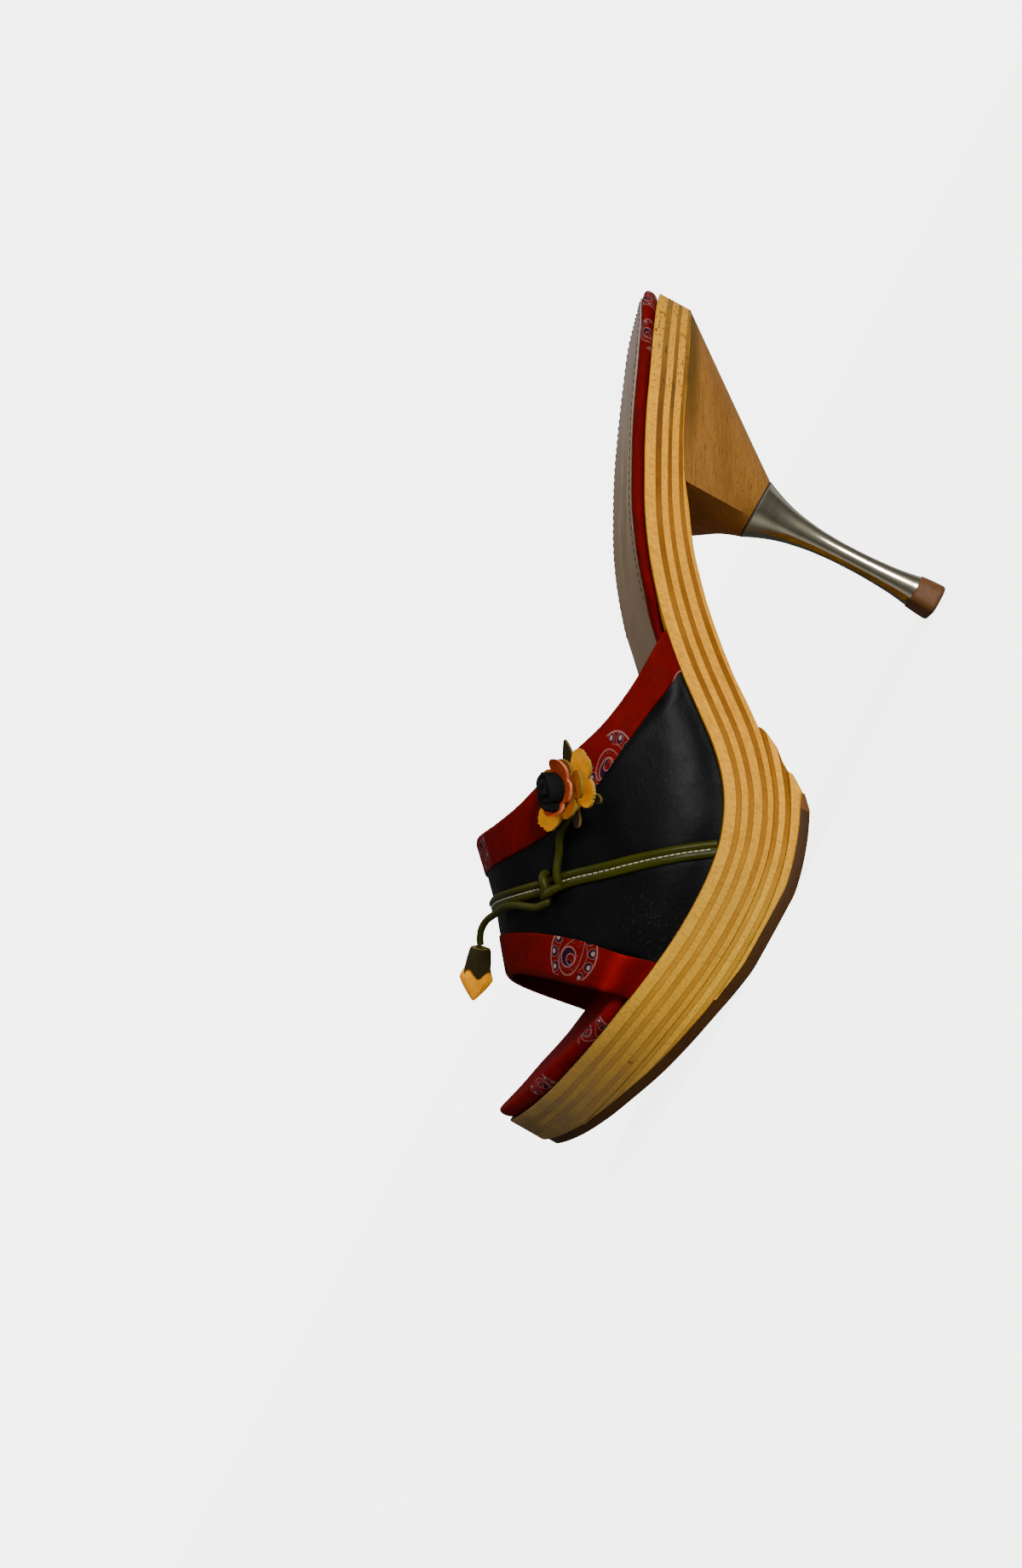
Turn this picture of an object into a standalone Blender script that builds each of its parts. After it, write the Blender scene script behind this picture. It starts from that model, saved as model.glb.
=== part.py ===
"""Left shoe of a pair of high-heeled mules on a bent plywood platform.

The toe points to -Y, the outer side of the foot is at +X and the floor is z = 0.
Inside this file a place on the shoe is written (along, across, height) in
millimetres: along runs forward from the middle of the heel tip, across runs to
the outer side. place() turns that into the metres of the finished model.
"""
import math

import bmesh
import bpy
import mathutils
import numpy as np

# ---------------------------------------------------------------- named sizes
TOE_TURN = math.radians(10.0)    # the heel's own axis against the shoe's axis
SHIFT_X = 0.000946               # from the heel tip to the middle of the shoe
SHIFT_Y = 0.074616
GAP = 0.3                        # room left between neighbouring pieces

SHELL_PLIES = 12.7               # depth of the bent shell under its own top
PAD_PLIES = 17.0                 # depth of the upper pad's underside
OUTSOLE_THICK = 2.7
OUTSOLE_INSET = 0.5

BREAST_ALONG = 14.2              # flat front of the heel block
STEM_TOP = 56.0                  # height where wood meets steel
STEM_TOP_RADIUS = 8.55
STEM_LEAN = 1.4                  # degrees, top of the stem towards the toe
STEM_FOOT = 1.9                  # where its axis meets the floor, along
TIP_TOP = 7.4
TIP_HALF_WIDTH = 5.1

INSOLE_THICK = 3.4
INSOLE_EDGE = 0.5                # set back from the edge of the wood
INSOLE_TUCK = 3.7                # set back where the upper stands on the wood

WALL = 1.8                       # leather and lining of the upper
UPPER_INSET = 1.0                # outer face of the leather from the wood's edge
BAND_STEP = 0.6                  # the rolled fabric bands stand out by this

STRAP_HALF = 2.1
STRAP_THICK = 1.3
CORD_RADIUS = 1.0                # round leather cord of the flower and the bud
KNOT_TURN = 38.8                 # where it is tied round the strap

FLOWER_SPOT = (98.4, 30.6)      # along and turn of the place under the flower
FLOWER_LIFT = 5.2                # its underside above the leather
FLOWER_AXIS = (0.47, 0.61, 0.64)

# ------------------------------------------------------- tables, one row a section
OUTLINE = (  # along, outer edge, inner edge
    (-36.4, -3.2, -3.2), (-35.9, 3.0, -9.4), (-34.7, 8.2, -14.6), (-32.2, 13.4, -19.6),
    (-28.4, 17.8, -24.0), (-22.6, 21.4, -27.7), (-12.0, 23.9, -30.3), (0.0, 24.3, -30.9),
    (20.0, 23.7, -30.2), (40.0, 23.2, -28.9), (50.0, 22.9, -29.4), (60.0, 22.8, -33.4),
    (70.0, 23.2, -41.0), (80.0, 24.3, -51.6), (90.0, 25.0, -60.3), (100.0, 25.0, -66.0),
    (110.0, 24.3, -69.5), (120.0, 22.6, -71.5), (130.0, 19.8, -72.0), (140.0, 15.2, -71.2),
    (150.0, 8.2, -69.2), (159.0, -0.4, -66.0), (167.0, -9.2, -62.0), (173.0, -17.2, -57.8),
    (177.0, -24.0, -53.4), (179.4, -30.6, -48.2), (180.4, -39.6, -39.6),
)
TOP = (  # along, height of the wood's top
    (-37.5, 108.2), (-34.0, 107.3), (-28.0, 105.8), (-20.0, 103.0), (-8.0, 97.9),
    (4.0, 92.6), (16.0, 86.5), (28.0, 79.7), (40.0, 71.0), (50.0, 62.0), (60.0, 51.0),
    (66.0, 43.4), (72.0, 36.0), (80.0, 29.0), (90.0, 24.0), (100.0, 21.7), (110.0, 21.0),
    (120.0, 21.2), (130.0, 22.1), (140.0, 23.4), (150.0, 24.8), (160.0, 26.4),
    (168.0, 28.0), (176.0, 30.4), (180.6, 32.2),
)
UNDER = (  # along, height of the bare underside from the seat to the pads
    (-37.5, 98.2), (-30.0, 96.2), (-20.0, 92.2), (-8.0, 87.0), (4.0, 81.4), (14.0, 75.4),
    (20.3, 70.9), (25.0, 67.7), (30.0, 64.0), (35.0, 59.6), (40.0, 54.9), (45.0, 49.6),
    (50.0, 43.9), (54.0, 39.0), (58.0, 33.4),
)
TREAD = (  # along, height of the outsole's underside
    (74.8, 6.4), (80.0, 4.2), (86.0, 2.2), (92.0, 0.7), (97.0, 0.0), (106.0, 0.0),
    (116.0, 0.0), (123.0, 0.8), (131.6, 2.4), (140.5, 4.0), (149.5, 5.9), (158.7, 8.5),
    (168.2, 11.6), (173.0, 13.7), (177.0, 16.0), (180.6, 18.6),
)
CREST = (  # along, across, height: the ridge of the foot that the upper follows
    (48.0, -4.0, 128.0), (60.0, -6.0, 121.0), (75.0, -10.0, 112.0), (90.0, -16.0, 102.0),
    (103.0, -21.0, 91.5), (112.0, -24.0, 83.4), (118.0, -26.0, 77.6), (126.0, -28.0, 69.4),
    (131.0, -29.0, 64.8), (137.0, -30.5, 59.6), (146.0, -32.5, 52.2), (150.0, -33.5, 49.3),
)
SWELL = (  # along, how far the inner wall leans out over the wood
    (48.0, 0.0), (52.0, 2.0), (60.0, 8.0), (72.0, 13.0), (85.0, 11.4), (100.0, 5.4),
    (115.0, 2.8), (130.0, 2.2), (150.0, 2.6),
)
TOPLINE = (  # along, height of the rear edge, height of its band's lower edge
    (50.0, 61.0, 51.8), (56.5, 61.2, 52.0), (65.0, 61.3, 52.8), (73.2, 62.0, 54.0),
    (81.0, 63.3, 55.0), (88.0, 65.5, 55.7), (94.0, 67.6, 56.3), (101.0, 70.0, 57.6),
    (110.3, 73.4, 61.0), (114.7, 76.2, 63.4), (118.6, 80.4, 66.4), (124.0, 86.0, 71.2),
    (134.0, 96.0, 80.0),
)
FRONT = (  # turn round the arch from the outer side, band's rear edge, toe opening
    (0.0, 127.6, 138.4), (13.0, 130.0, 140.2), (26.0, 131.5, 141.8), (41.0, 133.6, 143.2),
    (72.0, 136.8, 144.9), (90.0, 137.2, 145.6), (120.0, 136.4, 145.4), (150.0, 134.4, 143.8),
    (180.0, 131.6, 141.0),
)
STRAP = (  # turn round the arch, along
    (0.0, 95.4), (6.3, 100.7), (12.9, 106.3), (22.3, 113.4), (32.4, 119.0), (40.0, 122.6),
    (48.0, 125.2), (57.0, 127.4), (78.0, 130.2), (90.0, 130.8), (105.0, 129.4),
    (125.0, 124.8), (150.0, 112.8), (170.0, 102.4), (180.0, 97.6),
)
STEM = (  # height, radius of the steel stem
    (7.7, 3.95), (10.0, 3.75), (13.0, 3.45), (17.0, 3.2), (21.0, 3.0), (25.0, 2.9),
    (29.0, 2.9), (33.0, 3.05), (37.0, 3.35), (41.0, 3.9), (45.0, 4.65), (49.0, 5.8),
    (52.5, 7.1), (55.7, 8.5),
)

SEPALS = (  # direction on the flower in degrees, reach, half of its angle
    (-3.0, 12.4, 11.0), (-116.0, 11.0, 13.0), (-177.0, 10.0, 13.0), (118.0, 10.0, 13.0),
    (58.0, 9.0, 13.0),
)
OUTER_PETALS = (
    (-52.0, 11.8, 31.0), (-109.0, 10.4, 30.0), (126.0, 13.0, 26.0), (60.0, 8.4, 27.0),
)
MIDDLE_PETALS = (
    (-90.0, 9.4, 34.0), (-162.0, 8.0, 30.0), (-18.0, 7.6, 30.0), (52.0, 7.6, 30.0),
    (124.0, 7.8, 30.0),
)
INNER_PETALS = (
    (-22.0, 7.6, 38.0), (156.0, 7.0, 38.0), (68.0, 6.4, 38.0), (-112.0, 5.0, 38.0),
)
BUD_ROUTE = (  # along, across, height
    (127.6, 12.2, 52.3), (129.0, 9.0, 54.8), (129.8, 5.3, 57.4), (130.5, 0.9, 60.0),
    (131.4, -3.8, 61.9), (132.7, -8.8, 63.0), (133.8, -13.2, 63.6), (134.8, -17.2, 64.3),
    (136.2, -20.8, 65.0), (138.5, -23.8, 65.1), (140.7, -25.9, 64.3), (142.2, -26.8, 63.3),
)
BUD_AXIS_START = (142.8, -27.1, 62.85)
BUD_AXIS_END = (156.6, -32.0, 57.5)


# ------------------------------------------------------------------- helpers
def table_curve(rows, column=1):
    """A smooth function through one column of a table."""
    xs = np.array([row[0] for row in rows], float)
    ys = np.array([row[column] for row in rows], float)
    steps = np.diff(ys) / np.diff(xs)
    slopes = np.empty_like(ys)
    slopes[1:-1] = (steps[1:] * np.diff(xs)[:-1] + steps[:-1] * np.diff(xs)[1:]) \
        / (xs[2:] - xs[:-2])
    slopes[0] = steps[0]
    slopes[-1] = steps[-1]
    level = steps == 0.0
    slopes[:-1][level] = 0.0
    slopes[1:][level] = 0.0

    def value(x):
        x = min(max(x, xs[0]), xs[-1])
        k = min(int(np.searchsorted(xs, x, side="right")) - 1, len(xs) - 2)
        h = xs[k + 1] - xs[k]
        t = (x - xs[k]) / h
        a = (1 + 2 * t) * (1 - t) ** 2 * ys[k] + t * (1 - t) ** 2 * h * slopes[k]
        b = t * t * (3 - 2 * t) * ys[k + 1] + t * t * (t - 1) * h * slopes[k + 1]
        return a + b

    return value


def side_curve(column):
    """The outline's edge as a smooth function of along, round at both ends."""
    pts = np.array([(row[0], row[column]) for row in OUTLINE], float)
    first = pts[1] * (1, -1) + (0, 2 * pts[0][1])
    last = pts[-2] * (1, -1) + (0, 2 * pts[-1][1])
    knots = np.vstack([first, pts, last])
    chord = np.sqrt(np.linalg.norm(np.diff(knots, axis=0), axis=1))
    t = np.concatenate([[0], np.cumsum(chord)])
    dense = []
    for k in range(1, len(knots) - 2):
        p0, p1, p2, p3 = knots[k - 1:k + 3]
        t0, t1, t2, t3 = t[k - 1:k + 3]
        for u in np.linspace(t1, t2, 24, endpoint=False):
            a1 = (t1 - u) / (t1 - t0) * p0 + (u - t0) / (t1 - t0) * p1
            a2 = (t2 - u) / (t2 - t1) * p1 + (u - t1) / (t2 - t1) * p2
            a3 = (t3 - u) / (t3 - t2) * p2 + (u - t2) / (t3 - t2) * p3
            b1 = (t2 - u) / (t2 - t0) * a1 + (u - t0) / (t2 - t0) * a2
            b2 = (t3 - u) / (t3 - t1) * a2 + (u - t1) / (t3 - t1) * a3
            dense.append((t2 - u) / (t2 - t1) * b1 + (u - t1) / (t2 - t1) * b2)
    dense.append(pts[-1])
    dense = np.array(dense)
    order = np.maximum.accumulate(dense[:, 0])
    return lambda along: float(np.interp(along, order, dense[:, 1]))


outer_edge = side_curve(1)
inner_edge = side_curve(2)
top_height = table_curve(TOP)
under_height = table_curve(UNDER)
tread_height = table_curve(TREAD)
crest_across = table_curve(CREST, 1)
crest_height = table_curve(CREST, 2)
swell = table_curve(SWELL)
topline_height = table_curve(TOPLINE, 1)
band_height = table_curve(TOPLINE, 2)
front_band = table_curve(FRONT, 1)
front_edge = table_curve(FRONT, 2)
strap_along = table_curve(STRAP)


def middle(along):
    """Half-way between the outer and the inner edge."""
    return 0.5 * (outer_edge(along) + inner_edge(along))


def ply_height(depth):
    """Height of the glue line that lies this deep under the wood's top."""
    spots = []
    for along in np.arange(40.0, 182.3, 1.0):
        slope = (top_height(along + 0.2) - top_height(along - 0.2)) / 0.4
        length = math.hypot(slope, 1.0)
        spots.append((along + depth * slope / length, top_height(along) - depth / length))
    spots = np.array(spots)
    return lambda along: float(np.interp(along, spots[:, 0], spots[:, 1]))


shell_ply = ply_height(SHELL_PLIES)
pad_ply = ply_height(PAD_PLIES)


def wood_bottom(along):
    """Underside of the wood over the outsole, still rising behind the tread."""
    behind = max(TREAD[0][0] - along, 0.0)
    return tread_height(along) + 0.32 * behind + OUTSOLE_THICK + 0.5 * GAP


def place(along, across, height):
    """Shoe millimetres to model metres."""
    c = math.cos(TOE_TURN)
    s = math.sin(TOE_TURN)
    x = across * c + along * s
    y = across * s - along * c
    return (x / 1000.0 + SHIFT_X, y / 1000.0 + SHIFT_Y, height / 1000.0)


def material(name, colour, roughness, metallic=0.0):
    """A plain Principled material in linear colour."""
    mat = bpy.data.materials.new(name)
    mat.use_nodes = True
    shader = mat.node_tree.nodes["Principled BSDF"]
    shader.inputs["Base Color"].default_value = (*colour, 1.0)
    shader.inputs["Roughness"].default_value = roughness
    shader.inputs["Metallic"].default_value = metallic
    mat.diffuse_color = (*colour, 1.0)
    return mat


def solid(name, points, faces, mat, smooth=True):
    """One closed body from shoe points and faces, facing out."""
    mesh = bpy.data.meshes.new(name)
    mesh.from_pydata([place(*p) for p in points], [], faces)
    body = bmesh.new()
    body.from_mesh(mesh)
    bmesh.ops.remove_doubles(body, verts=body.verts, dist=1e-6)
    bmesh.ops.dissolve_degenerate(body, edges=body.edges, dist=1e-7)
    bmesh.ops.recalc_face_normals(body, faces=body.faces)
    if body.calc_volume(signed=True) < 0:
        bmesh.ops.reverse_faces(body, faces=body.faces)
    body.to_mesh(mesh)
    body.free()
    for poly in mesh.polygons:
        poly.use_smooth = smooth
    mesh.materials.append(mat)
    piece = bpy.data.objects.new(name, mesh)
    shoe.objects.link(piece)
    return piece


def stations(first, last, count, tight_first=False, tight_last=False):
    """Places along, closer together at a rounded end."""
    t = np.linspace(0.0, 1.0, count)
    if tight_first:
        t = np.where(t < 0.25, t ** 1.7 / 0.25 ** 0.7, t)
    if tight_last:
        u = 1.0 - t
        t = 1.0 - np.where(u < 0.25, u ** 1.7 / 0.25 ** 0.7, u)
    return first + (last - first) * t


def plank(name, alongs, upper, lower, outer, inner, mat):
    """A piece of board between two ruled faces and the two sides of an outline."""
    points = []
    for along in alongs:
        o = outer(along)
        i = inner(along)
        points.append((along, o, upper(along)))
        points.append((along, i, upper(along)))
        points.append((along, i, lower(along)))
        points.append((along, o, lower(along)))
    faces = [(0, 1, 2, 3)]
    for k in range(len(alongs) - 1):
        a = 4 * k
        b = a + 4
        for j in range(4):
            faces.append((a + j, a + (j + 1) % 4, b + (j + 1) % 4, b + j))
    end = 4 * (len(alongs) - 1)
    faces.append((end + 3, end + 2, end + 1, end))
    return solid(name, points, faces, mat, smooth=False)


def inset(edge, amount):
    """An edge moved towards the middle of the sole."""
    def value(along):
        mid = middle(along)
        reach = edge(along) - mid
        room = max(abs(reach) - amount, 0.05)
        return mid + math.copysign(room, reach)
    return value


def offset(edge, side, along, amount):
    """A point moved square to the outline's edge, towards the middle; side is 1 or -1."""
    low = max(along - 0.4, OUTLINE[0][0] + 0.02)
    high = min(along + 0.4, OUTLINE[-1][0] - 0.02)
    slope = (edge(high) - edge(low)) / (high - low) * side
    length = math.hypot(slope, 1.0)
    across = edge(along) - side * amount / length
    if side * (across - middle(along)) < 0.0:
        across = middle(along) + side * 0.02
    return along + amount * slope / length, across


# ---------------------------------------------------------------- the upper
def arch(along, turn, lift=0.0):
    """A point of the upper's outer face.

    turn is 0 at the outer edge of the wood, 90 on the crest and 180 at the
    inner edge; lift moves the point out of the face.
    """
    angle = math.radians(turn)
    base = top_height(along) + GAP
    crest = crest_height(along) + lift
    mid = crest_across(along)
    if turn <= 90.0:
        foot = outer_edge(along) - UPPER_INSET + lift
        across = mid + (foot - mid) * math.cos(angle)
        return (along, across, base + (crest - base) * math.sin(angle))
    foot = inner_edge(along) + UPPER_INSET - lift
    rise = (crest - base) * math.sin(angle) ** 0.87
    reach = abs(math.cos(angle)) ** 0.75
    lean = swell(along) * (1.0 - math.exp(-rise / 7.0))
    return (along, mid + (foot - lean - mid) * reach, base + rise)


def crossing(turn, level, low=49.0, high=133.0):
    """Where the arch's line at this turn passes the height of a rear line."""
    def over(along):
        return arch(along, turn)[2] - level(along)
    if over(low) < 0.0:
        return low
    for _ in range(40):
        half = 0.5 * (low + high)
        if over(half) > 0.0:
            low = half
        else:
            high = half
    return 0.5 * (low + high)


def upper_lines(turn):
    """The four lines across the upper at this turn, from the heel to the toe."""
    rear = crossing(turn, topline_height)
    band = max(crossing(turn, band_height), rear + 4.0)
    return rear, band, front_band(turn), front_edge(turn)


def build_upper(mat):
    """Hollow vamp: two thick fabric bands with the leather between them."""
    turns = [0, 3, 7, 12, 17, 22, 27, 32, 38, 44, 50, 56, 62, 68, 74, 80, 85, 90, 92, 95, 99,
             104, 110, 116, 122, 128, 134, 140, 146, 152, 157, 162, 166, 170, 173, 175.5, 178,
             180]
    outer_rows = []
    inner_rows = []
    for turn in turns:
        rear, band, fore, edge = upper_lines(turn)
        rear_band = [rear, 0.5 * (rear + band), band]
        leather = [band + (fore - band) * s for s in (0.12, 0.27, 0.44, 0.62, 0.81)]
        front = [fore, 0.5 * (fore + edge), edge]
        cols = [(a, BAND_STEP) for a in rear_band] + [(band, 0.0)]
        cols += [(a, 0.0) for a in leather]
        cols += [(fore, 0.0)] + [(a, BAND_STEP) for a in front]
        outer_rows.append([arch(a, turn, lift) for a, lift in cols])
        inner_rows.append([arch(a, turn, -WALL) for a in rear_band + leather + front])
    points = [p for row in outer_rows for p in row]
    wide = len(outer_rows[0])
    start = len(points)
    points += [p for row in inner_rows for p in row]
    narrow = len(inner_rows[0])
    rows = len(turns)
    faces = []
    for i in range(rows - 1):
        for j in range(wide - 1):
            a = i * wide + j
            faces.append((a, a + 1, a + wide + 1, a + wide))
        for j in range(narrow - 1):
            a = start + i * narrow + j
            faces.append((a, a + narrow, a + narrow + 1, a + 1))
        a = i * wide
        b = start + i * narrow
        faces.append((a, a + wide, b + narrow, b))
        a += wide - 1
        b += narrow - 1
        faces.append((a, b, b + narrow, a + wide))
    beside = [0, 1, 2, 2, 3, 4, 5, 6, 7, 8, 8, 9, 10]      # inner column next to each outer one
    for i in (0, rows - 1):
        for j in range(wide - 1):
            a = i * wide + j
            b = start + i * narrow + beside[j]
            c = start + i * narrow + beside[j + 1]
            faces.append((a, a + 1, b) if b == c else (a, a + 1, c, b))
    return solid("upper", points, faces, mat)


def strap_point(turn, side, lift):
    """A point of the strap: side is across its width, lift off the leather."""
    along = strap_along(turn)
    here = np.array(arch(along, turn))
    ahead = np.array(arch(strap_along(turn + 1.0), turn + 1.0)) if turn < 179.5 else None
    behind = np.array(arch(strap_along(turn - 1.0), turn - 1.0)) if turn > 0.5 else None
    run = (here if ahead is None else ahead) - (here if behind is None else behind)
    run = run / np.linalg.norm(run)
    out = face_normal(along, turn)
    wide = np.cross(out, run)
    wide = wide / np.linalg.norm(wide)
    return tuple(here + wide * side + out * lift)


def face_normal(along, turn):
    """Unit vector out of the upper's face."""
    a = np.array(arch(along + 0.5, turn)) - np.array(arch(along - 0.5, turn))
    low = max(turn - 1.0, 0.0)
    high = min(turn + 1.0, 180.0)
    b = np.array(arch(along, high)) - np.array(arch(along, low))
    out = np.cross(a, b)
    out = out / np.linalg.norm(out)
    if np.dot(out, np.array(arch(along, turn, 1.0)) - np.array(arch(along, turn))) < 0:
        out = -out
    return out


def over_leather(along, turn, lift):
    """A point this far off the upper's outer face, square to it."""
    return np.array(arch(along, turn)) + face_normal(along, turn) * lift


def ribbon(name, rows, mat):
    """A closed bar from rings of four points each."""
    points = [p for row in rows for p in row]
    faces = [(3, 2, 1, 0)]
    for k in range(len(rows) - 1):
        a = 4 * k
        for j in range(4):
            faces.append((a + j, a + (j + 1) % 4, a + 4 + (j + 1) % 4, a + 4 + j))
    end = 4 * (len(rows) - 1)
    faces.append((end, end + 1, end + 2, end + 3))
    return solid(name, points, faces, mat)


def cord(name, route, radius, mat, samples=4):
    """A round cord along a smooth route of shoe points, with flat ends."""
    path = smooth_route([np.array(p, float) for p in route], samples)
    curve = bpy.data.curves.new(name, "CURVE")
    curve.dimensions = "3D"
    curve.bevel_depth = radius / 1000.0
    curve.bevel_resolution = 2
    curve.use_fill_caps = True
    line = curve.splines.new("POLY")
    line.points.add(len(path) - 1)
    for point, spot in zip(line.points, path):
        point.co = (*place(*spot), 1.0)
    curve.materials.append(mat)
    piece = bpy.data.objects.new(name, curve)
    shoe.objects.link(piece)
    return piece


def smooth_route(route, samples):
    """Catmull-Rom points through a route."""
    ends = [2 * route[0] - route[1]] + route + [2 * route[-1] - route[-2]]
    path = []
    for k in range(1, len(ends) - 2):
        p0, p1, p2, p3 = ends[k - 1:k + 3]
        for t in np.linspace(0.0, 1.0, samples, endpoint=False):
            path.append(0.5 * (2 * p1 + (p2 - p0) * t + (2 * p0 - 5 * p1 + 4 * p2 - p3) * t * t
                               + (3 * p1 - p0 - 3 * p2 + p3) * t ** 3))
    path.append(route[-1])
    return path


def lofted(name, rings, mat, smooth=True):
    """A closed body through rings with the same number of points."""
    points = [p for ring in rings for p in ring]
    count = len(rings[0])
    faces = [tuple(range(count))]
    for k in range(len(rings) - 1):
        a = k * count
        for j in range(count):
            faces.append((a + j, a + (j + 1) % count, a + count + (j + 1) % count,
                          a + count + j))
    end = (len(rings) - 1) * count
    faces.append(tuple(reversed(range(end, end + count))))
    return solid(name, points, faces, mat, smooth)


# ---------------------------------------------------------------- heel block
def build_heel_block(mat):
    """Wooden wedge: D-shaped under the seat, round where the steel starts."""
    outer = inset(outer_edge, 0.8)
    inner = inset(inner_edge, 2.2)
    sides = list(stations(OUTLINE[0][0] + 1.2, BREAST_ALONG, 14, tight_first=True))
    front = 5
    top = []
    bottom = []
    chord = math.radians(54.0)
    for k, along in enumerate(sides):
        top.append((along, outer(along), under_height(along) - GAP))
        bottom.append(math.pi + (chord - math.pi) * k / (len(sides) - 1))
    for k in range(1, front):
        t = k / front
        across = outer(BREAST_ALONG) * (1 - t) + inner(BREAST_ALONG) * t
        top.append((BREAST_ALONG, across, under_height(BREAST_ALONG) - GAP))
        bottom.append(chord * (1 - 2 * t))
    for k, along in reversed(list(enumerate(sides))):
        top.append((along, inner(along), under_height(along) - GAP))
        bottom.append(-(math.pi + (chord - math.pi) * k / (len(sides) - 1)))
    centre = STEM_FOOT + math.tan(math.radians(STEM_LEAN)) * STEM_TOP
    rings = []
    for t in (0.0, 0.08, 0.3, 0.6, 1.0):
        ring = []
        for high, angle in zip(top, bottom):
            low = np.array((centre + STEM_TOP_RADIUS * math.cos(angle),
                            STEM_TOP_RADIUS * math.sin(angle), STEM_TOP))
            ring.append(tuple(low * (1 - t) + np.array(high) * t))
        rings.append(ring)
    points = [p for ring in rings for p in ring]
    count = len(top)
    faces = [tuple(range(count))]
    for k in range(len(rings) - 1):
        a = k * count
        for j in range(count):
            faces.append((a + j, a + (j + 1) % count, a + count + (j + 1) % count,
                          a + count + j))
    end = (len(rings) - 1) * count
    last = len(sides) - 1
    for k in range(last):
        faces.append((end + k, end + k + 1, end + count - 2 - k, end + count - 1 - k))
    faces.append(tuple(end + last + j for j in range(front + 1)))
    return solid("heel_block", points, faces, mat)


def build_stem(mat):
    """Turned steel stem, leaning a little towards the toe."""
    profile = [(0.0, STEM[-1][0])]
    profile += [(radius, height) for height, radius in reversed(STEM)]
    profile += [(0.0, STEM[0][0])]
    mesh = bpy.data.meshes.new("heel_stem")
    spots = [(radius / 1000.0, 0.0, height / 1000.0) for radius, height in profile]
    mesh.from_pydata(spots, [(k, k + 1) for k in range(len(spots) - 1)], [])
    mesh.materials.append(mat)
    piece = bpy.data.objects.new("heel_stem", mesh)
    shoe.objects.link(piece)
    turn = piece.modifiers.new("turned", "SCREW")
    turn.steps = 28
    turn.render_steps = 28
    turn.use_merge_vertices = True
    turn.merge_threshold = 0.00001
    turn.use_smooth_shade = True
    piece.location = place(STEM_FOOT, 0.0, 0.0)
    tilt_axis = (math.cos(TOE_TURN), math.sin(TOE_TURN), 0.0)
    tilt = mathutils.Matrix.Rotation(math.radians(STEM_LEAN), 3, tilt_axis)
    piece.rotation_euler = tilt.to_euler()
    return piece


def build_tip(mat):
    """Top piece of the heel: round at the back, flat at the front."""
    rings = []
    for height, grow in ((0.0, -0.7), (0.45, -0.12), (1.2, 0.0), (6.6, -0.25), (TIP_TOP, -0.6)):
        half = TIP_HALF_WIDTH + grow
        ring = []
        for j in range(19):
            a = math.pi / 2 + math.pi * j / 18
            ring.append((1.8 + half * math.cos(a), half * math.sin(a), height))
        front = 1.8 + 4.9 + grow
        ring.append((front - 2.2, -half, height))
        ring.append((front - 0.6, -half + 0.35, height))
        ring.append((front, -half + 1.3, height))
        ring.append((front, half - 1.3, height))
        ring.append((front - 0.6, half - 0.35, height))
        ring.append((front - 2.2, half, height))
        rings.append(ring)
    return lofted("heel_tip", rings, mat)


# -------------------------------------------------------------- sole and pads
def build_shell(mat):
    """Bent plywood shell from the seat to the toe."""
    def lower(along):
        if along <= 58.0:
            return under_height(along)
        if along < 62.5:
            t = (along - 58.0) / 4.5
            return under_height(58.0) * (1 - t) + (shell_ply(62.5) + 0.5 * GAP) * t
        if along < 172.0:
            return shell_ply(along) + 0.5 * GAP
        return wood_bottom(along)
    alongs = np.concatenate([stations(OUTLINE[0][0], 58.0, 34, tight_first=True),
                             stations(62.5, 171.9, 34),
                             stations(172.1, 180.3, 9, tight_last=True)])
    return plank("sole_shell", alongs, top_height, lower, outer_edge, inner_edge, mat)


def build_pad(mat):
    """Pad under the forefoot, its rear end cut to a long slope."""
    slope = table_curve(((62.1, 26.6), (62.7, 24.8), (67.2, 18.2), (69.0, 15.4)))

    def lower(along):
        if along < 69.0:
            return slope(along)
        if along < 129.0:
            return pad_ply(along) + 0.5 * GAP
        return wood_bottom(along)
    alongs = np.concatenate([(62.1, 62.7, 64.5, 67.2, 69.0), stations(71.0, 128.9, 20),
                             stations(129.1, 171.6, 13)])
    return plank("platform_pad", alongs, lambda a: shell_ply(a) - 0.5 * GAP, lower,
                 outer_edge, inner_edge, mat)


def build_ply(mat):
    """The last thin ply over the outsole, sloped at its rear end."""
    slope = table_curve(((68.7, 14.5), (71.5, 10.4)))

    def lower(along):
        return slope(along) if along < 71.5 else wood_bottom(along)

    alongs = np.concatenate([(68.7, 70.0, 71.5), stations(73.4, 128.6, 22)])
    return plank("platform_ply", alongs, lambda a: pad_ply(a) - 0.5 * GAP, lower,
                 outer_edge, inner_edge, mat)


def build_outsole(mat):
    """Rubber outsole with a flat tread and a sloped rear edge."""
    slope = table_curve(((71.6, 9.4), (74.8, 6.4)))

    def lower(along):
        return slope(along) if along < 74.8 else tread_height(along)

    def upper(along):
        return wood_bottom(along) - GAP

    alongs = np.concatenate([(71.6, 73.0, 74.8), stations(77.0, 97.0, 9),
                             (101.0, 106.0, 111.0), stations(116.0, 179.8, 28, tight_last=True)])
    return plank("outsole", alongs, upper, lower, inset(outer_edge, OUTSOLE_INSET),
                 inset(inner_edge, OUTSOLE_INSET), mat)


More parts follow.
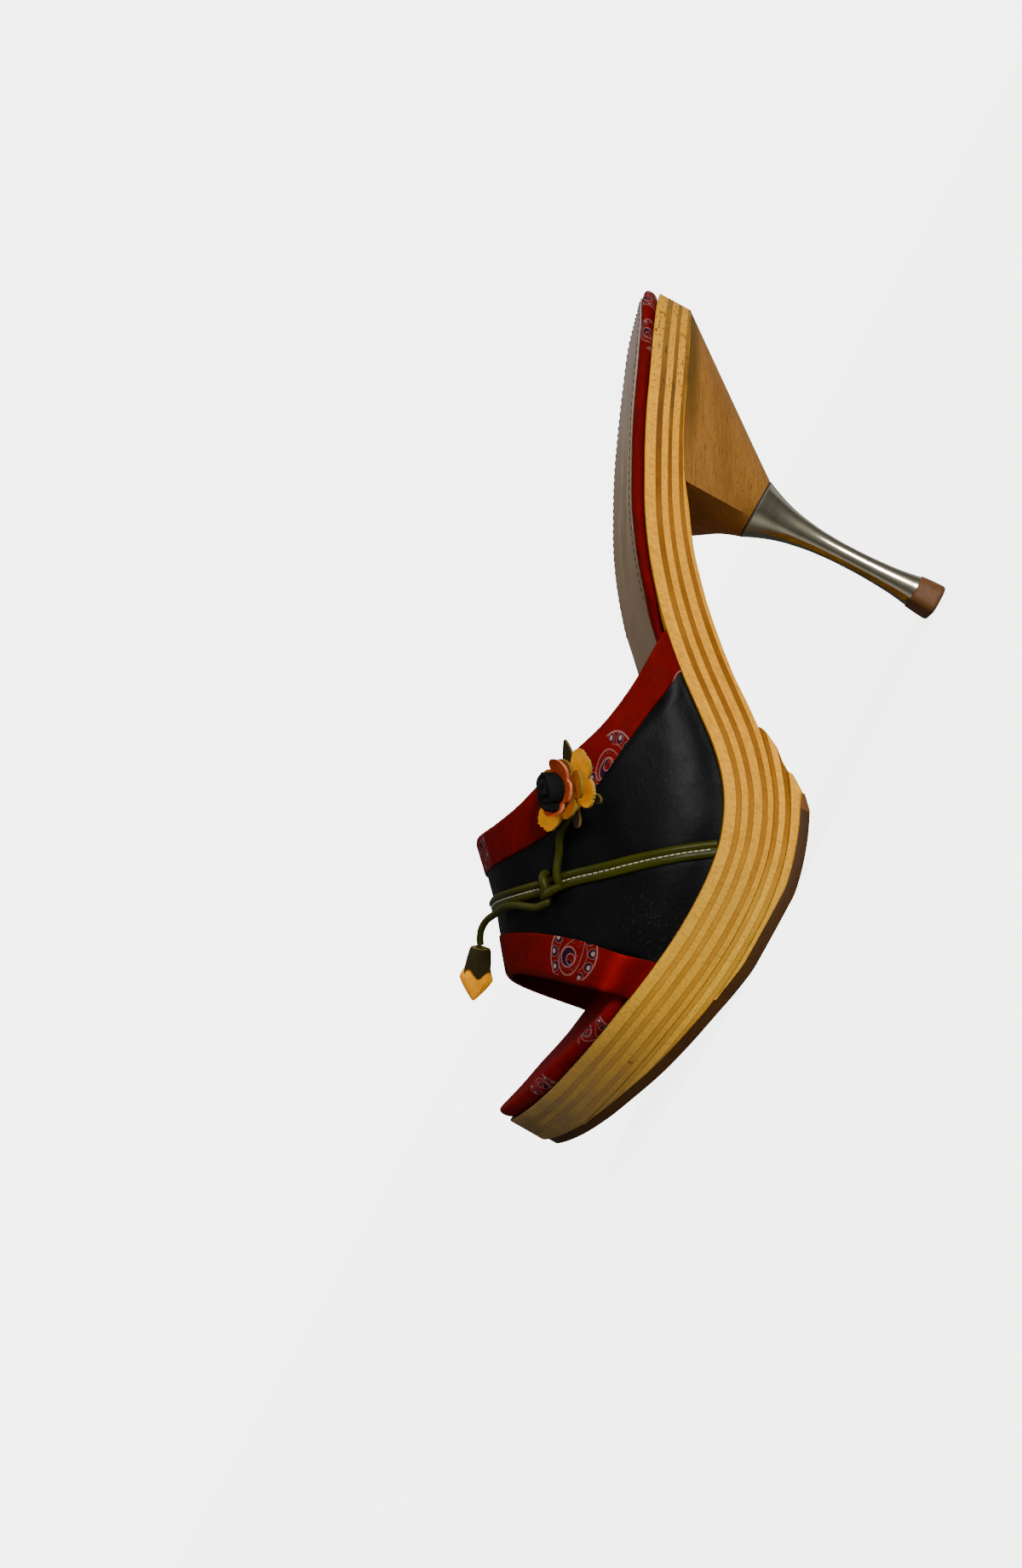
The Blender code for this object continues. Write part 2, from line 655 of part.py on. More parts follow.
def build_insole(mat):
    """Padded footbed with a rolled edge, narrower inside the upper."""
    def tuck(along):
        rise = min(max((along - 44.0) / 7.0, 0.0), 1.0)
        fall = min(max((148.0 - along) / 7.0, 0.0), 1.0)
        t = min(rise, fall)
        return INSOLE_EDGE + (INSOLE_TUCK - INSOLE_EDGE) * t * t * (3 - 2 * t)

    alongs = np.concatenate([stations(OUTLINE[0][0] + 0.2, 42.0, 30, tight_first=True),
                             stations(44.0, 141.0, 38),
                             stations(142.5, 180.2, 22, tight_last=True)])
    section = ((0.0, 0.4), (0.55, 0.0), (0.9, 0.45), (1.0, 1.7))   # height share, inset
    rings = []
    for along in alongs:
        outer = [offset(outer_edge, 1.0, along, tuck(along) + extra) for _, extra in section]
        inner = [offset(inner_edge, -1.0, along, tuck(along) + extra) for _, extra in section]
        ring = []
        for (share, _), (x, y) in zip(section, outer):
            ring.append((x, y, top_height(x) + GAP + share * INSOLE_THICK))
        for (share, _), (x, y) in reversed(list(zip(section, inner))):
            ring.append((x, y, top_height(x) + GAP + share * INSOLE_THICK))
        rings.append(ring)
    return lofted("insole", rings, mat)


def build_strap(mat):
    """Narrow leather strap across the vamp from edge to edge."""
    rows = []
    for turn in (1.5, 4, 8, 12, 17, 23, 29, 35, 41, 47, 53, 59, 65, 71, 77, 83, 88, 93, 98,
                 104, 110, 117, 124, 131, 138, 145, 152, 159, 166, 172, 176, 178.5):
        rows.append((strap_point(turn, -STRAP_HALF, GAP),
                     strap_point(turn, STRAP_HALF, GAP),
                     strap_point(turn, STRAP_HALF - 0.3, GAP + STRAP_THICK),
                     strap_point(turn, -STRAP_HALF + 0.3, GAP + STRAP_THICK)))
    return ribbon("strap", rows, mat)


# ------------------------------------------------------------- flower and bud
def flower_point(radius, angle, height):
    """A point in the flower's own round frame, angle 0 towards the heel."""
    up = np.array(FLOWER_AXIS)
    up = up / np.linalg.norm(up)
    side = np.cross(up, (0.0, 1.0, 0.0))
    side = side / np.linalg.norm(side)
    other = np.cross(up, side)
    base = over_leather(*FLOWER_SPOT, FLOWER_LIFT)
    spot = base + radius * (math.cos(angle) * side + math.sin(angle) * other) + height * up
    return tuple(spot)


def petal_reach(petals, angle, core):
    """How far a ring of cut petals reaches in one direction."""
    reach = core
    for centre, length, half in petals:
        away = abs((math.degrees(angle) - centre + 180.0) % 360.0 - 180.0) / half
        if away < 1.0:
            reach = max(reach, core + (length - core) * (1.0 - away ** 2.6) ** 0.6)
    return reach


def rosette(name, petals, core, cup, height, thick, mat, around=40):
    """A flat-cut ring of petals, bent up like a bowl; cup is the rise at 10 mm."""
    rings = (0.35, 0.7, 1.0)
    points = [flower_point(0, 0, height), flower_point(0, 0, height + thick)]
    for share in rings:
        for j in range(around):
            angle = 2 * math.pi * j / around
            radius = petal_reach(petals, angle, core) * share
            rise = cup * (radius / 10.0) ** 2
            points.append(flower_point(radius, angle, height + rise))
            points.append(flower_point(radius, angle, height + rise + thick))
    faces = []

    def index(ring, j, layer):
        return 2 + 2 * (ring * around + j % around) + layer

    last = len(rings) - 1
    for j in range(around):
        faces.append((0, index(0, j + 1, 0), index(0, j, 0)))
        faces.append((1, index(0, j, 1), index(0, j + 1, 1)))
        for ring in range(last):
            faces.append((index(ring, j, 0), index(ring, j + 1, 0),
                          index(ring + 1, j + 1, 0), index(ring + 1, j, 0)))
            faces.append((index(ring, j, 1), index(ring + 1, j, 1),
                          index(ring + 1, j + 1, 1), index(ring, j + 1, 1)))
        faces.append((index(last, j, 0), index(last, j + 1, 0), index(last, j + 1, 1),
                      index(last, j, 1)))
    return solid(name, points, faces, mat)


def build_flower_knot(mat):
    """Rolled leather centre of the flower."""
    rings = []
    for height, radius in ((5.1, 1.6), (5.5, 3.2), (6.8, 4.4), (8.9, 4.4), (10.2, 3.4),
                           (10.6, 1.8)):
        rings.append([flower_point(radius, 2 * math.pi * j / 16, height) for j in range(16)])
    return lofted("flower_knot", rings, mat)


def tie_point(forward, onward, lift):
    """A point beside the knot: towards the toe, towards the crest, off the leather."""
    along = strap_along(KNOT_TURN)
    out = face_normal(along, KNOT_TURN)
    ahead = np.array(arch(strap_along(KNOT_TURN + 1.0), KNOT_TURN + 1.0))
    behind = np.array(arch(strap_along(KNOT_TURN - 1.0), KNOT_TURN - 1.0))
    run = ahead - behind
    run = run / np.linalg.norm(run)
    wide = np.cross(out, run)
    wide = wide / np.linalg.norm(wide)
    return np.array(arch(along, KNOT_TURN)) + wide * forward + run * onward + out * lift


def build_flower_stem(mat):
    """Round cord from the strap's rear edge to the underside of the flower."""
    route = [tie_point(-STRAP_HALF - 3 * GAP, -4.2, GAP + CORD_RADIUS + 0.2),
             over_leather(114.2, 35.2, 1.7), over_leather(108.6, 34.2, 2.3),
             np.array(flower_point(2.0, math.radians(-170.0), -2.6)),
             np.array(flower_point(0.0, 0.0, -3 * GAP))]
    return cord("flower_stem", route, CORD_RADIUS, mat)


def build_knot(mat):
    """Cord that passes over the strap and turns back beside it."""
    route = [tie_point(*spot) for spot in (
        (-3.4, 0.3, 1.35), (-3.1, 0.3, 2.5), (-2.2, 0.1, 3.3), (-1.0, -0.5, 3.6),
        (0.0, -1.5, 3.6), (1.1, -2.3, 3.4), (2.3, -1.9, 3.2), (2.7, -0.3, 3.0),
        (2.7, 2.0, 3.0))]
    return cord("strap_knot", route, CORD_RADIUS, mat, samples=3)


def bud_ring(share, wide, deep, count=12):
    """An oval ring across the bud's axis."""
    a = np.array(BUD_AXIS_START)
    b = np.array(BUD_AXIS_END)
    run = (b - a) / np.linalg.norm(b - a)
    side = np.cross(run, (0.0, 1.0, 0.0))
    side = side / np.linalg.norm(side)
    other = np.cross(run, side)
    spot = a + (b - a) * share
    ring = []
    for j in range(count):
        t = 2 * math.pi * j / count
        ring.append(tuple(spot + side * wide * math.cos(t) + other * deep * math.sin(t)))
    return ring


def build_bud(calyx_mat, petal_mat):
    """Olive sleeve and the folded yellow petals that come out of it."""
    calyx = [bud_ring(s, w, d) for s, w, d in (
        (0.0, 2.1, 1.9), (0.05, 3.0, 2.4), (0.25, 3.5, 2.7), (0.45, 4.1, 2.8))]
    petal = [bud_ring(s, w, d) for s, w, d in (
        (0.47, 4.2, 2.6), (0.58, 4.8, 2.5), (0.78, 3.0, 1.9), (0.99, 0.5, 0.6))]
    return lofted("bud_calyx", calyx, calyx_mat), lofted("bud_petals", petal, petal_mat)


# -------------------------------------------------------------------- build
for old in list(bpy.data.objects):
    bpy.data.objects.remove(old, do_unlink=True)

shoe = bpy.data.collections.new("bentwood_mule_left")
bpy.context.scene.collection.children.link(shoe)

light_wood = material("light_wood", (0.62, 0.36, 0.12), 0.45)
heel_wood = material("heel_wood", (0.38, 0.19, 0.06), 0.42)
brown_rubber = material("brown_rubber", (0.055, 0.018, 0.006), 0.40)
tan_rubber = material("tan_rubber", (0.26, 0.12, 0.045), 0.45)
steel = material("polished_steel", (0.55, 0.54, 0.52), 0.16, 1.0)
red_fabric = material("red_printed_fabric", (0.26, 0.012, 0.010), 0.55)
dark_leather = material("dark_leather", (0.010, 0.012, 0.016), 0.42)
green_leather = material("green_leather", (0.075, 0.085, 0.012), 0.38)
yellow_leather = material("yellow_leather", (0.66, 0.29, 0.008), 0.6)
orange_leather = material("orange_leather", (0.45, 0.075, 0.008), 0.6)
black_leather = material("black_leather", (0.010, 0.010, 0.010), 0.5)
olive_leather = material("olive_leather", (0.060, 0.052, 0.014), 0.55)

build_shell(light_wood)
build_pad(light_wood)
build_ply(light_wood)
build_outsole(brown_rubber)
build_heel_block(heel_wood)
build_stem(steel)
build_tip(tan_rubber)
build_insole(red_fabric)
build_upper(dark_leather)
build_strap(green_leather)
build_knot(green_leather)
build_flower_stem(green_leather)
rosette("flower_sepals", SEPALS, 4.0, 0.5, 0.0, 0.8, olive_leather)
rosette("flower_petals_outer", OUTER_PETALS, 6.0, 1.0, 1.1, 0.9, yellow_leather)
rosette("flower_petals_middle", MIDDLE_PETALS, 4.8, 2.9, 2.4, 0.9, orange_leather)
rosette("flower_petals_inner", INNER_PETALS, 4.0, 5.4, 3.7, 0.9, orange_leather)
build_flower_knot(black_leather)
cord("bud_cord", BUD_ROUTE, CORD_RADIUS, green_leather, samples=3)
build_bud(olive_leather, yellow_leather)

if __name__ == "__main__":
    bpy.context.view_layer.update()
    corners = np.array([item.matrix_world @ mathutils.Vector(corner)
                        for item in shoe.objects for corner in item.bound_box])
    print("pieces", len(shoe.objects), "low", corners.min(axis=0).round(5),
          "high", corners.max(axis=0).round(5))
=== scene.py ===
"""Dresses a left high-heeled mule: bent plywood platform on a steel heel, leather vamp
between printed cotton bands, and a tied strap with a leather flower and a bud.

Lengths in the classes are millimetres in the shoe's own axes (along, across, height):
along runs forward from the middle of the heel tip, across runs to the outer side of
the foot. Last.place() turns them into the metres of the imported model.
"""
from __future__ import annotations

import logging
from dataclasses import dataclass
from enum import Enum
from functools import cache
from math import copysign, cos, pi, radians, sin, sqrt, tan
from typing import Callable, Sequence, Union

import bmesh
import bpy
import numpy as np
from mathutils import Matrix, Vector, noise


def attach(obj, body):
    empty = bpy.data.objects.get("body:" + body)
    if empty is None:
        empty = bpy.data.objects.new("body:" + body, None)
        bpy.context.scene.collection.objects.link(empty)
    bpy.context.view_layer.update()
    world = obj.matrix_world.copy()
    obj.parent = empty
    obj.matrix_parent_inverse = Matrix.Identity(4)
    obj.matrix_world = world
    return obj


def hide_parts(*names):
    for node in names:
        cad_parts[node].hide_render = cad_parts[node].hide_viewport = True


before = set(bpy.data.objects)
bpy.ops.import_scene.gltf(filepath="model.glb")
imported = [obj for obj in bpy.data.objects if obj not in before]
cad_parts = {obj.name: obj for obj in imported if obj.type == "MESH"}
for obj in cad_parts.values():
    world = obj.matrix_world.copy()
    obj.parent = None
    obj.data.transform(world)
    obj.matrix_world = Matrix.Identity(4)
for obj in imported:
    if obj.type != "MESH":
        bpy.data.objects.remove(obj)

LOG = logging.getLogger("mule")
LAY = "lay"  # name of the mesh attribute that the finishes read
FULL_TURN = 2 * pi

Array = np.ndarray
Amount = Union[float, np.ndarray]
Rows = Sequence[Sequence[float]]
Surface = Callable[[np.ndarray], np.ndarray]  # height at a place along
Spot = tuple[float, float, float]
Colour = tuple[float, float, float]
Material = bpy.types.Material
Piece = bpy.types.Object


# ----- curves
class Track:
    """A smooth curve through one column of a table, for one number or many."""

    def __init__(self, rows: Rows, column: int = 1) -> None:
        """Reads the table.

        Args:
            rows: the table, its first column rising.
            column: the column that the curve follows.
        """
        self.xs, self.ys = np.array([(row[0], row[column]) for row in rows], float).T
        gaps = np.diff(self.xs)
        steps = np.diff(self.ys) / gaps
        inner = (steps[1:] * gaps[:-1] + steps[:-1] * gaps[1:]) / (gaps[:-1] + gaps[1:])
        self.slopes = np.concatenate([steps[:1], inner, steps[-1:]])
        level = steps == 0.0
        self.slopes[:-1][level] = 0.0
        self.slopes[1:][level] = 0.0

    def __call__(self, x: Amount) -> Array:
        """The curve's value at x, held level beyond the table's ends."""
        x = np.clip(x, self.xs[0], self.xs[-1])
        k = np.clip(np.searchsorted(self.xs, x, side="right") - 1, 0, len(self.xs) - 2)
        h = self.xs[k + 1] - self.xs[k]
        t = (x - self.xs[k]) / h
        rise = ease(t)
        low = (1 - rise) * self.ys[k] + t * (1 - t) ** 2 * h * self.slopes[k]
        return low + rise * self.ys[k + 1] + t * t * (t - 1) * h * self.slopes[k + 1]


class Rim:
    """One edge of the outline, round at both ends of the sole."""

    STEPS = 24

    def __init__(self, rows: Rows, column: int) -> None:
        """Reads the outline table.

        Args:
            rows: along, outer edge, inner edge.
            column: which of the two edges this is.
        """
        pts = np.array([(row[0], row[column]) for row in rows], float)
        first = pts[1] * (1, -1) + (0, 2 * pts[0][1])
        last = pts[-2] * (1, -1) + (0, 2 * pts[-1][1])
        knots = np.vstack([first, pts, last])
        chord = np.sqrt(np.linalg.norm(np.diff(knots, axis=0), axis=1))
        t = np.concatenate([[0], np.cumsum(chord)])
        dense = [self._piece(knots[k - 1:k + 3], t[k - 1:k + 3]) for k in range(1, len(knots) - 2)]
        spots = np.vstack([*dense, pts[-1:]])
        self.xs = np.maximum.accumulate(spots[:, 0])
        self.ys = spots[:, 1]

    def _piece(self, p: Array, t: Array) -> Array:
        """Points between the middle two of four knots."""
        u = np.linspace(t[1], t[2], self.STEPS, endpoint=False)[:, None]
        a = [((t[i + 1] - u) * p[i] + (u - t[i]) * p[i + 1]) / (t[i + 1] - t[i]) for i in range(3)]
        b = [((t[i + 2] - u) * a[i] + (u - t[i]) * a[i + 1]) / (t[i + 2] - t[i]) for i in range(2)]
        return ((t[2] - u) * b[0] + (u - t[1]) * b[1]) / (t[2] - t[1])

    def __call__(self, along: Amount) -> Array:
        """Across at this place along."""
        return np.interp(along, self.xs, self.ys)


def smooth_route(route: Rows, samples: int) -> Array:
    """Points on a smooth line through a route.

    Args:
        route: the places it passes.
        samples: points from one place to the next.

    Returns:
        The points, the route's last place included.
    """
    pts = np.array(route, float)
    ends = np.vstack([2 * pts[0] - pts[1], pts, 2 * pts[-1] - pts[-2]])
    t = np.linspace(0.0, 1.0, samples, endpoint=False)[:, None]
    path = []
    for k in range(1, len(ends) - 2):
        p0, p1, p2, p3 = ends[k - 1:k + 3]
        path.append(0.5 * (2 * p1 + (p2 - p0) * t + (2 * p0 - 5 * p1 + 4 * p2 - p3) * t * t
                           + (3 * p1 - p0 - 3 * p2 + p3) * t ** 3))
    return np.vstack([*path, pts[-1:]])


def stack(*values: Amount) -> Array:
    """Numbers and arrays side by side as one array of vectors."""
    return np.stack(np.broadcast_arrays(*values), -1)


def unit(vectors: Array) -> Array:
    """Vectors of length one."""
    return vectors / np.linalg.norm(vectors, axis=-1, keepdims=True)


def square_to(run: Array, hint: Sequence[float] = (0.0, 1.0, 0.0)) -> tuple[Array, Array]:
    """Two directions square to a run and to each other, the first also to the hint."""
    side = unit(np.cross(run, hint))
    return side, np.cross(run, side)


def ease(x: Amount) -> Array:
    """A soft step from 0 to 1."""
    t = np.clip(x, 0.0, 1.0)
    return t * t * (3 - 2 * t)


def travelled(points: Array) -> Array:
    """Length of the way along a row of points, up to each of them."""
    return np.concatenate([[0.0], np.cumsum(np.linalg.norm(np.diff(points, axis=0), axis=1))])


def rough(points: Array, size: float, seed: float) -> Array:
    """Even lumps for a surface.

    Args:
        points: places in millimetres, the last axis holds three numbers.
        size: width of a lump in millimetres.
        seed: picks another set of lumps.

    Returns:
        Numbers from about -1 to 1, one a point.
    """
    flat = points.reshape(-1, 3) / size + seed
    return np.array([noise.noise(Vector(p)) for p in flat]).reshape(points.shape[:-1])


def bevel_steps(size: float) -> Rows:
    """A rounded corner as steps of inset and drop."""
    corner = size * (1.0 - sqrt(0.5))
    return (size, 0.0), (corner, corner), (0.0, size)


def spread(first: float, last: float, count: int, tight_first: bool = False,
           tight_last: bool = False) -> Array:
    """Places along, closer together at a rounded end.

    Args:
        first: where they start.
        last: where they end.
        count: how many.
        tight_first: the start is a rounded end.
        tight_last: the finish is a rounded end.

    Returns:
        The places in rising order.
    """
    t = np.linspace(0.0, 1.0, count)
    if tight_last:
        t = 1.0 - t
    if tight_first or tight_last:
        t = np.where(t < 0.25, t ** 1.9 / 0.25 ** 0.9, t)
    if tight_last:
        t = 1.0 - t
    return first + (last - first) * t


# ----- the last
@dataclass(frozen=True)
class Last:
    """The form that every part follows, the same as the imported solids."""

    toe_turn: float = radians(10.0)
    shift: Spot = (0.000946, 0.074616, 0.0)  # of the model, in metres
    gap: float = 0.3
    upper_inset: float = 1.0
    outsole_thick: float = 2.7
    tread_start: float = 74.8
    outline: Rows = (  # along, outer edge, inner edge
        (-36.4, -3.2, -3.2), (-35.9, 3, -9.4), (-34.7, 8.2, -14.6), (-32.2, 13.4, -19.6),
        (-28.4, 17.8, -24), (-22.6, 21.4, -27.7), (-12, 23.9, -30.3), (0, 24.3, -30.9),
        (20, 23.7, -30.2), (40, 23.2, -28.9), (50, 22.9, -29.4), (60, 22.8, -33.4),
        (70, 23.2, -41), (80, 24.3, -51.6), (90, 25, -60.3), (100, 25, -66),
        (110, 24.3, -69.5), (120, 22.6, -71.5), (130, 19.8, -72), (140, 15.2, -71.2),
        (150, 8.2, -69.2), (159, -0.4, -66), (167, -9.2, -62), (173, -17.2, -57.8),
        (177, -24, -53.4), (179.4, -30.6, -48.2), (180.4, -39.6, -39.6))
    heel: float = outline[0][0]
    toe: float = outline[-1][0]
    outer: Rim = Rim(outline, 1)
    inner: Rim = Rim(outline, 2)
    top: Track = Track((  # along, height of the wood's top
        (-37.5, 108.2), (-34, 107.3), (-28, 105.8), (-20, 103), (-8, 97.9),
        (4, 92.6), (16, 86.5), (28, 79.7), (40, 71), (50, 62), (60, 51),
        (66, 43.4), (72, 36), (80, 29), (90, 24), (100, 21.7), (110, 21),
        (120, 21.2), (130, 22.1), (140, 23.4), (150, 24.8), (160, 26.4),
        (168, 28), (176, 30.4), (180.6, 32.2)))
    seat_under: Track = Track((  # along, height of the bare underside
        (-37.5, 98.2), (-30, 96.2), (-20, 92.2), (-8, 87), (4, 81.4), (14, 75.4),
        (20.3, 70.9), (25, 67.7), (30, 64), (35, 59.6), (40, 54.9), (45, 49.6),
        (50, 43.9), (54, 39), (58, 33.4)))
    tread: Track = Track((  # along, height of the outsole's underside
        (74.8, 6.4), (80, 4.2), (86, 2.2), (92, 0.7), (97, 0), (106, 0),
        (116, 0), (123, 0.8), (131.6, 2.4), (140.5, 4), (149.5, 5.9), (158.7, 8.5),
        (168.2, 11.6), (173, 13.7), (177, 16), (180.6, 18.6)))
    crest: Rows = (  # along, across, height of the ridge of the foot
        (48, -4, 128), (60, -6, 121), (75, -10, 112), (90, -16, 102),
        (103, -21, 91.5), (112, -24, 83.4), (118, -26, 77.6), (126, -28, 69.4),
        (131, -29, 64.8), (137, -30.5, 59.6), (146, -32.5, 52.2), (150, -33.5, 49.3))
    crest_across: Track = Track(crest, 1)
    crest_height: Track = Track(crest, 2)
    swell: Track = Track((  # along, how far the inner wall leans out over the wood
        (48, 0), (52, 2), (60, 8), (72, 13), (85, 11.4), (100, 5.4), (115, 2.8), (130, 2.2), (150, 2.6)))
    topline: Rows = (  # along, height of the rear edge, height of its band's lower edge
        (50, 61, 51.8), (56.5, 61.2, 52), (65, 61.3, 52.8), (73.2, 62, 54),
        (81, 63.3, 55), (88, 65.5, 55.7), (94, 67.6, 56.3), (101, 70, 57.6),
        (110.3, 73.4, 61), (114.7, 76.2, 63.4), (118.6, 80.4, 66.4), (124, 86, 71.2), (134, 96, 80))
    front: Rows = (  # turn round the arch, rear edge of the front band, toe opening
        (0, 127.6, 138.4), (13, 130, 140.2), (26, 131.5, 141.8), (41, 133.6, 143.2),
        (72, 136.8, 144.9), (90, 137.2, 145.6), (120, 136.4, 145.4),
        (150, 134.4, 143.8), (180, 131.6, 141))

    def turned(self, points: Sequence) -> Array:
        """The shoe's axes to the model's axes."""
        c, s = cos(self.toe_turn), sin(self.toe_turn)
        along, across, height = np.moveaxis(np.asarray(points, float), -1, 0)
        return stack(across * c + along * s, across * s - along * c, height)

    def place(self, points: Sequence) -> Array:
        """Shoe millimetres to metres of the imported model."""
        return self.turned(points) / 1000.0 + self.shift

    def heading(self, direction: Sequence[float]) -> Vector:
        """A direction on the shoe as a direction of the model."""
        return Vector(self.turned(direction))

    def middle(self, along: Amount) -> Array:
        """Half-way between the two edges."""
        return 0.5 * (self.outer(along) + self.inner(along))

    def edge_point(self, side: int, along: Array, amount: Amount) -> tuple[Array, Array]:
        """A place moved in from the outline, square to it.

        Args:
            side: 1 for the outer edge, -1 for the inner edge.
            along: where on the edge.
            amount: how far in.

        Returns:
            Along and across of the moved place.
        """
        edge = self.outer if side > 0 else self.inner
        low = np.maximum(along - 0.4, self.heel + 0.02)
        high = np.minimum(along + 0.4, self.toe - 0.02)
        slope = (edge(high) - edge(low)) / (high - low) * side
        length = np.hypot(slope, 1.0)
        across = edge(along) - side * amount / length
        mid = self.middle(along)
        across = np.where(side * (across - mid) < 0.0, mid + side * 0.02, across)
        return along + amount * slope / length, across

    def wood_bottom(self, along: Amount) -> Array:
        """Underside of the wood over the outsole."""
        behind = np.maximum(self.tread_start - along, 0.0)
        return self.tread(along) + 0.32 * behind + self.outsole_thick + 0.5 * self.gap

    def arch(self, along: Amount, turn: Amount, lift: Amount = 0.0) -> Array:
        """Points of the upper's outer face.

        Args:
            along: where along the shoe.
            turn: 0 at the outer edge of the wood, 90 on the crest, 180 at the inner edge.
            lift: how far out of the face.

        Returns:
            Points in shoe millimetres.
        """
        angle = np.radians(np.clip(turn, 0.0, 180.0))
        base = self.top(along) + self.gap
        crest = self.crest_height(along) + lift
        mid = self.crest_across(along)
        reach = np.abs(np.cos(angle))
        rise = np.abs(np.sin(angle))
        out_foot = self.outer(along) - self.upper_inset + lift
        out_side = mid + (out_foot - mid) * reach
        in_rise = (crest - base) * rise ** 0.87
        lean = self.swell(along) * (1.0 - np.exp(-in_rise / 7.0))
        in_foot = self.inner(along) + self.upper_inset - lift - lean
        in_side = mid + (in_foot - mid) * reach ** 0.75
        is_outer = np.asarray(turn) <= 90.0
        across = np.where(is_outer, out_side, in_side)
        return stack(along, across, base + np.where(is_outer, (crest - base) * rise, in_rise))

    def out_of_face(self, along: Amount, turn: Amount) -> Array:
        """Unit vectors that stand on the upper's outer face."""
        ahead = self.arch(along + 0.5, turn) - self.arch(along - 0.5, turn)
        low, high = np.maximum(turn - 1.0, 0.0), np.minimum(turn + 1.0, 180.0)
        out = unit(np.cross(ahead, self.arch(along, high) - self.arch(along, low)))
        check = self.arch(along, turn, 1.0) - self.arch(along, turn)
        return np.where((out * check).sum(-1, keepdims=True) < 0.0, -out, out)

    def over(self, along: Amount, turn: Amount, lift: Amount) -> Array:
        """Places that far off the upper's outer face, square to it."""
        return self.arch(along, turn) + self.out_of_face(along, turn) * np.asarray(lift)[..., None]

    def crossing(self, turn: float, level: Track) -> float:
        """Where the arch at this turn sinks through the height of a rear line."""
        low, high = 49.0, 133.0
        if self.arch(low, turn)[2] < level(low):
            return low
        for _ in range(40):
            half = 0.5 * (low + high)
            if self.arch(half, turn)[2] > level(half):
                low = half
            else:
                high = half
        return 0.5 * (low + high)


LAST = Last()


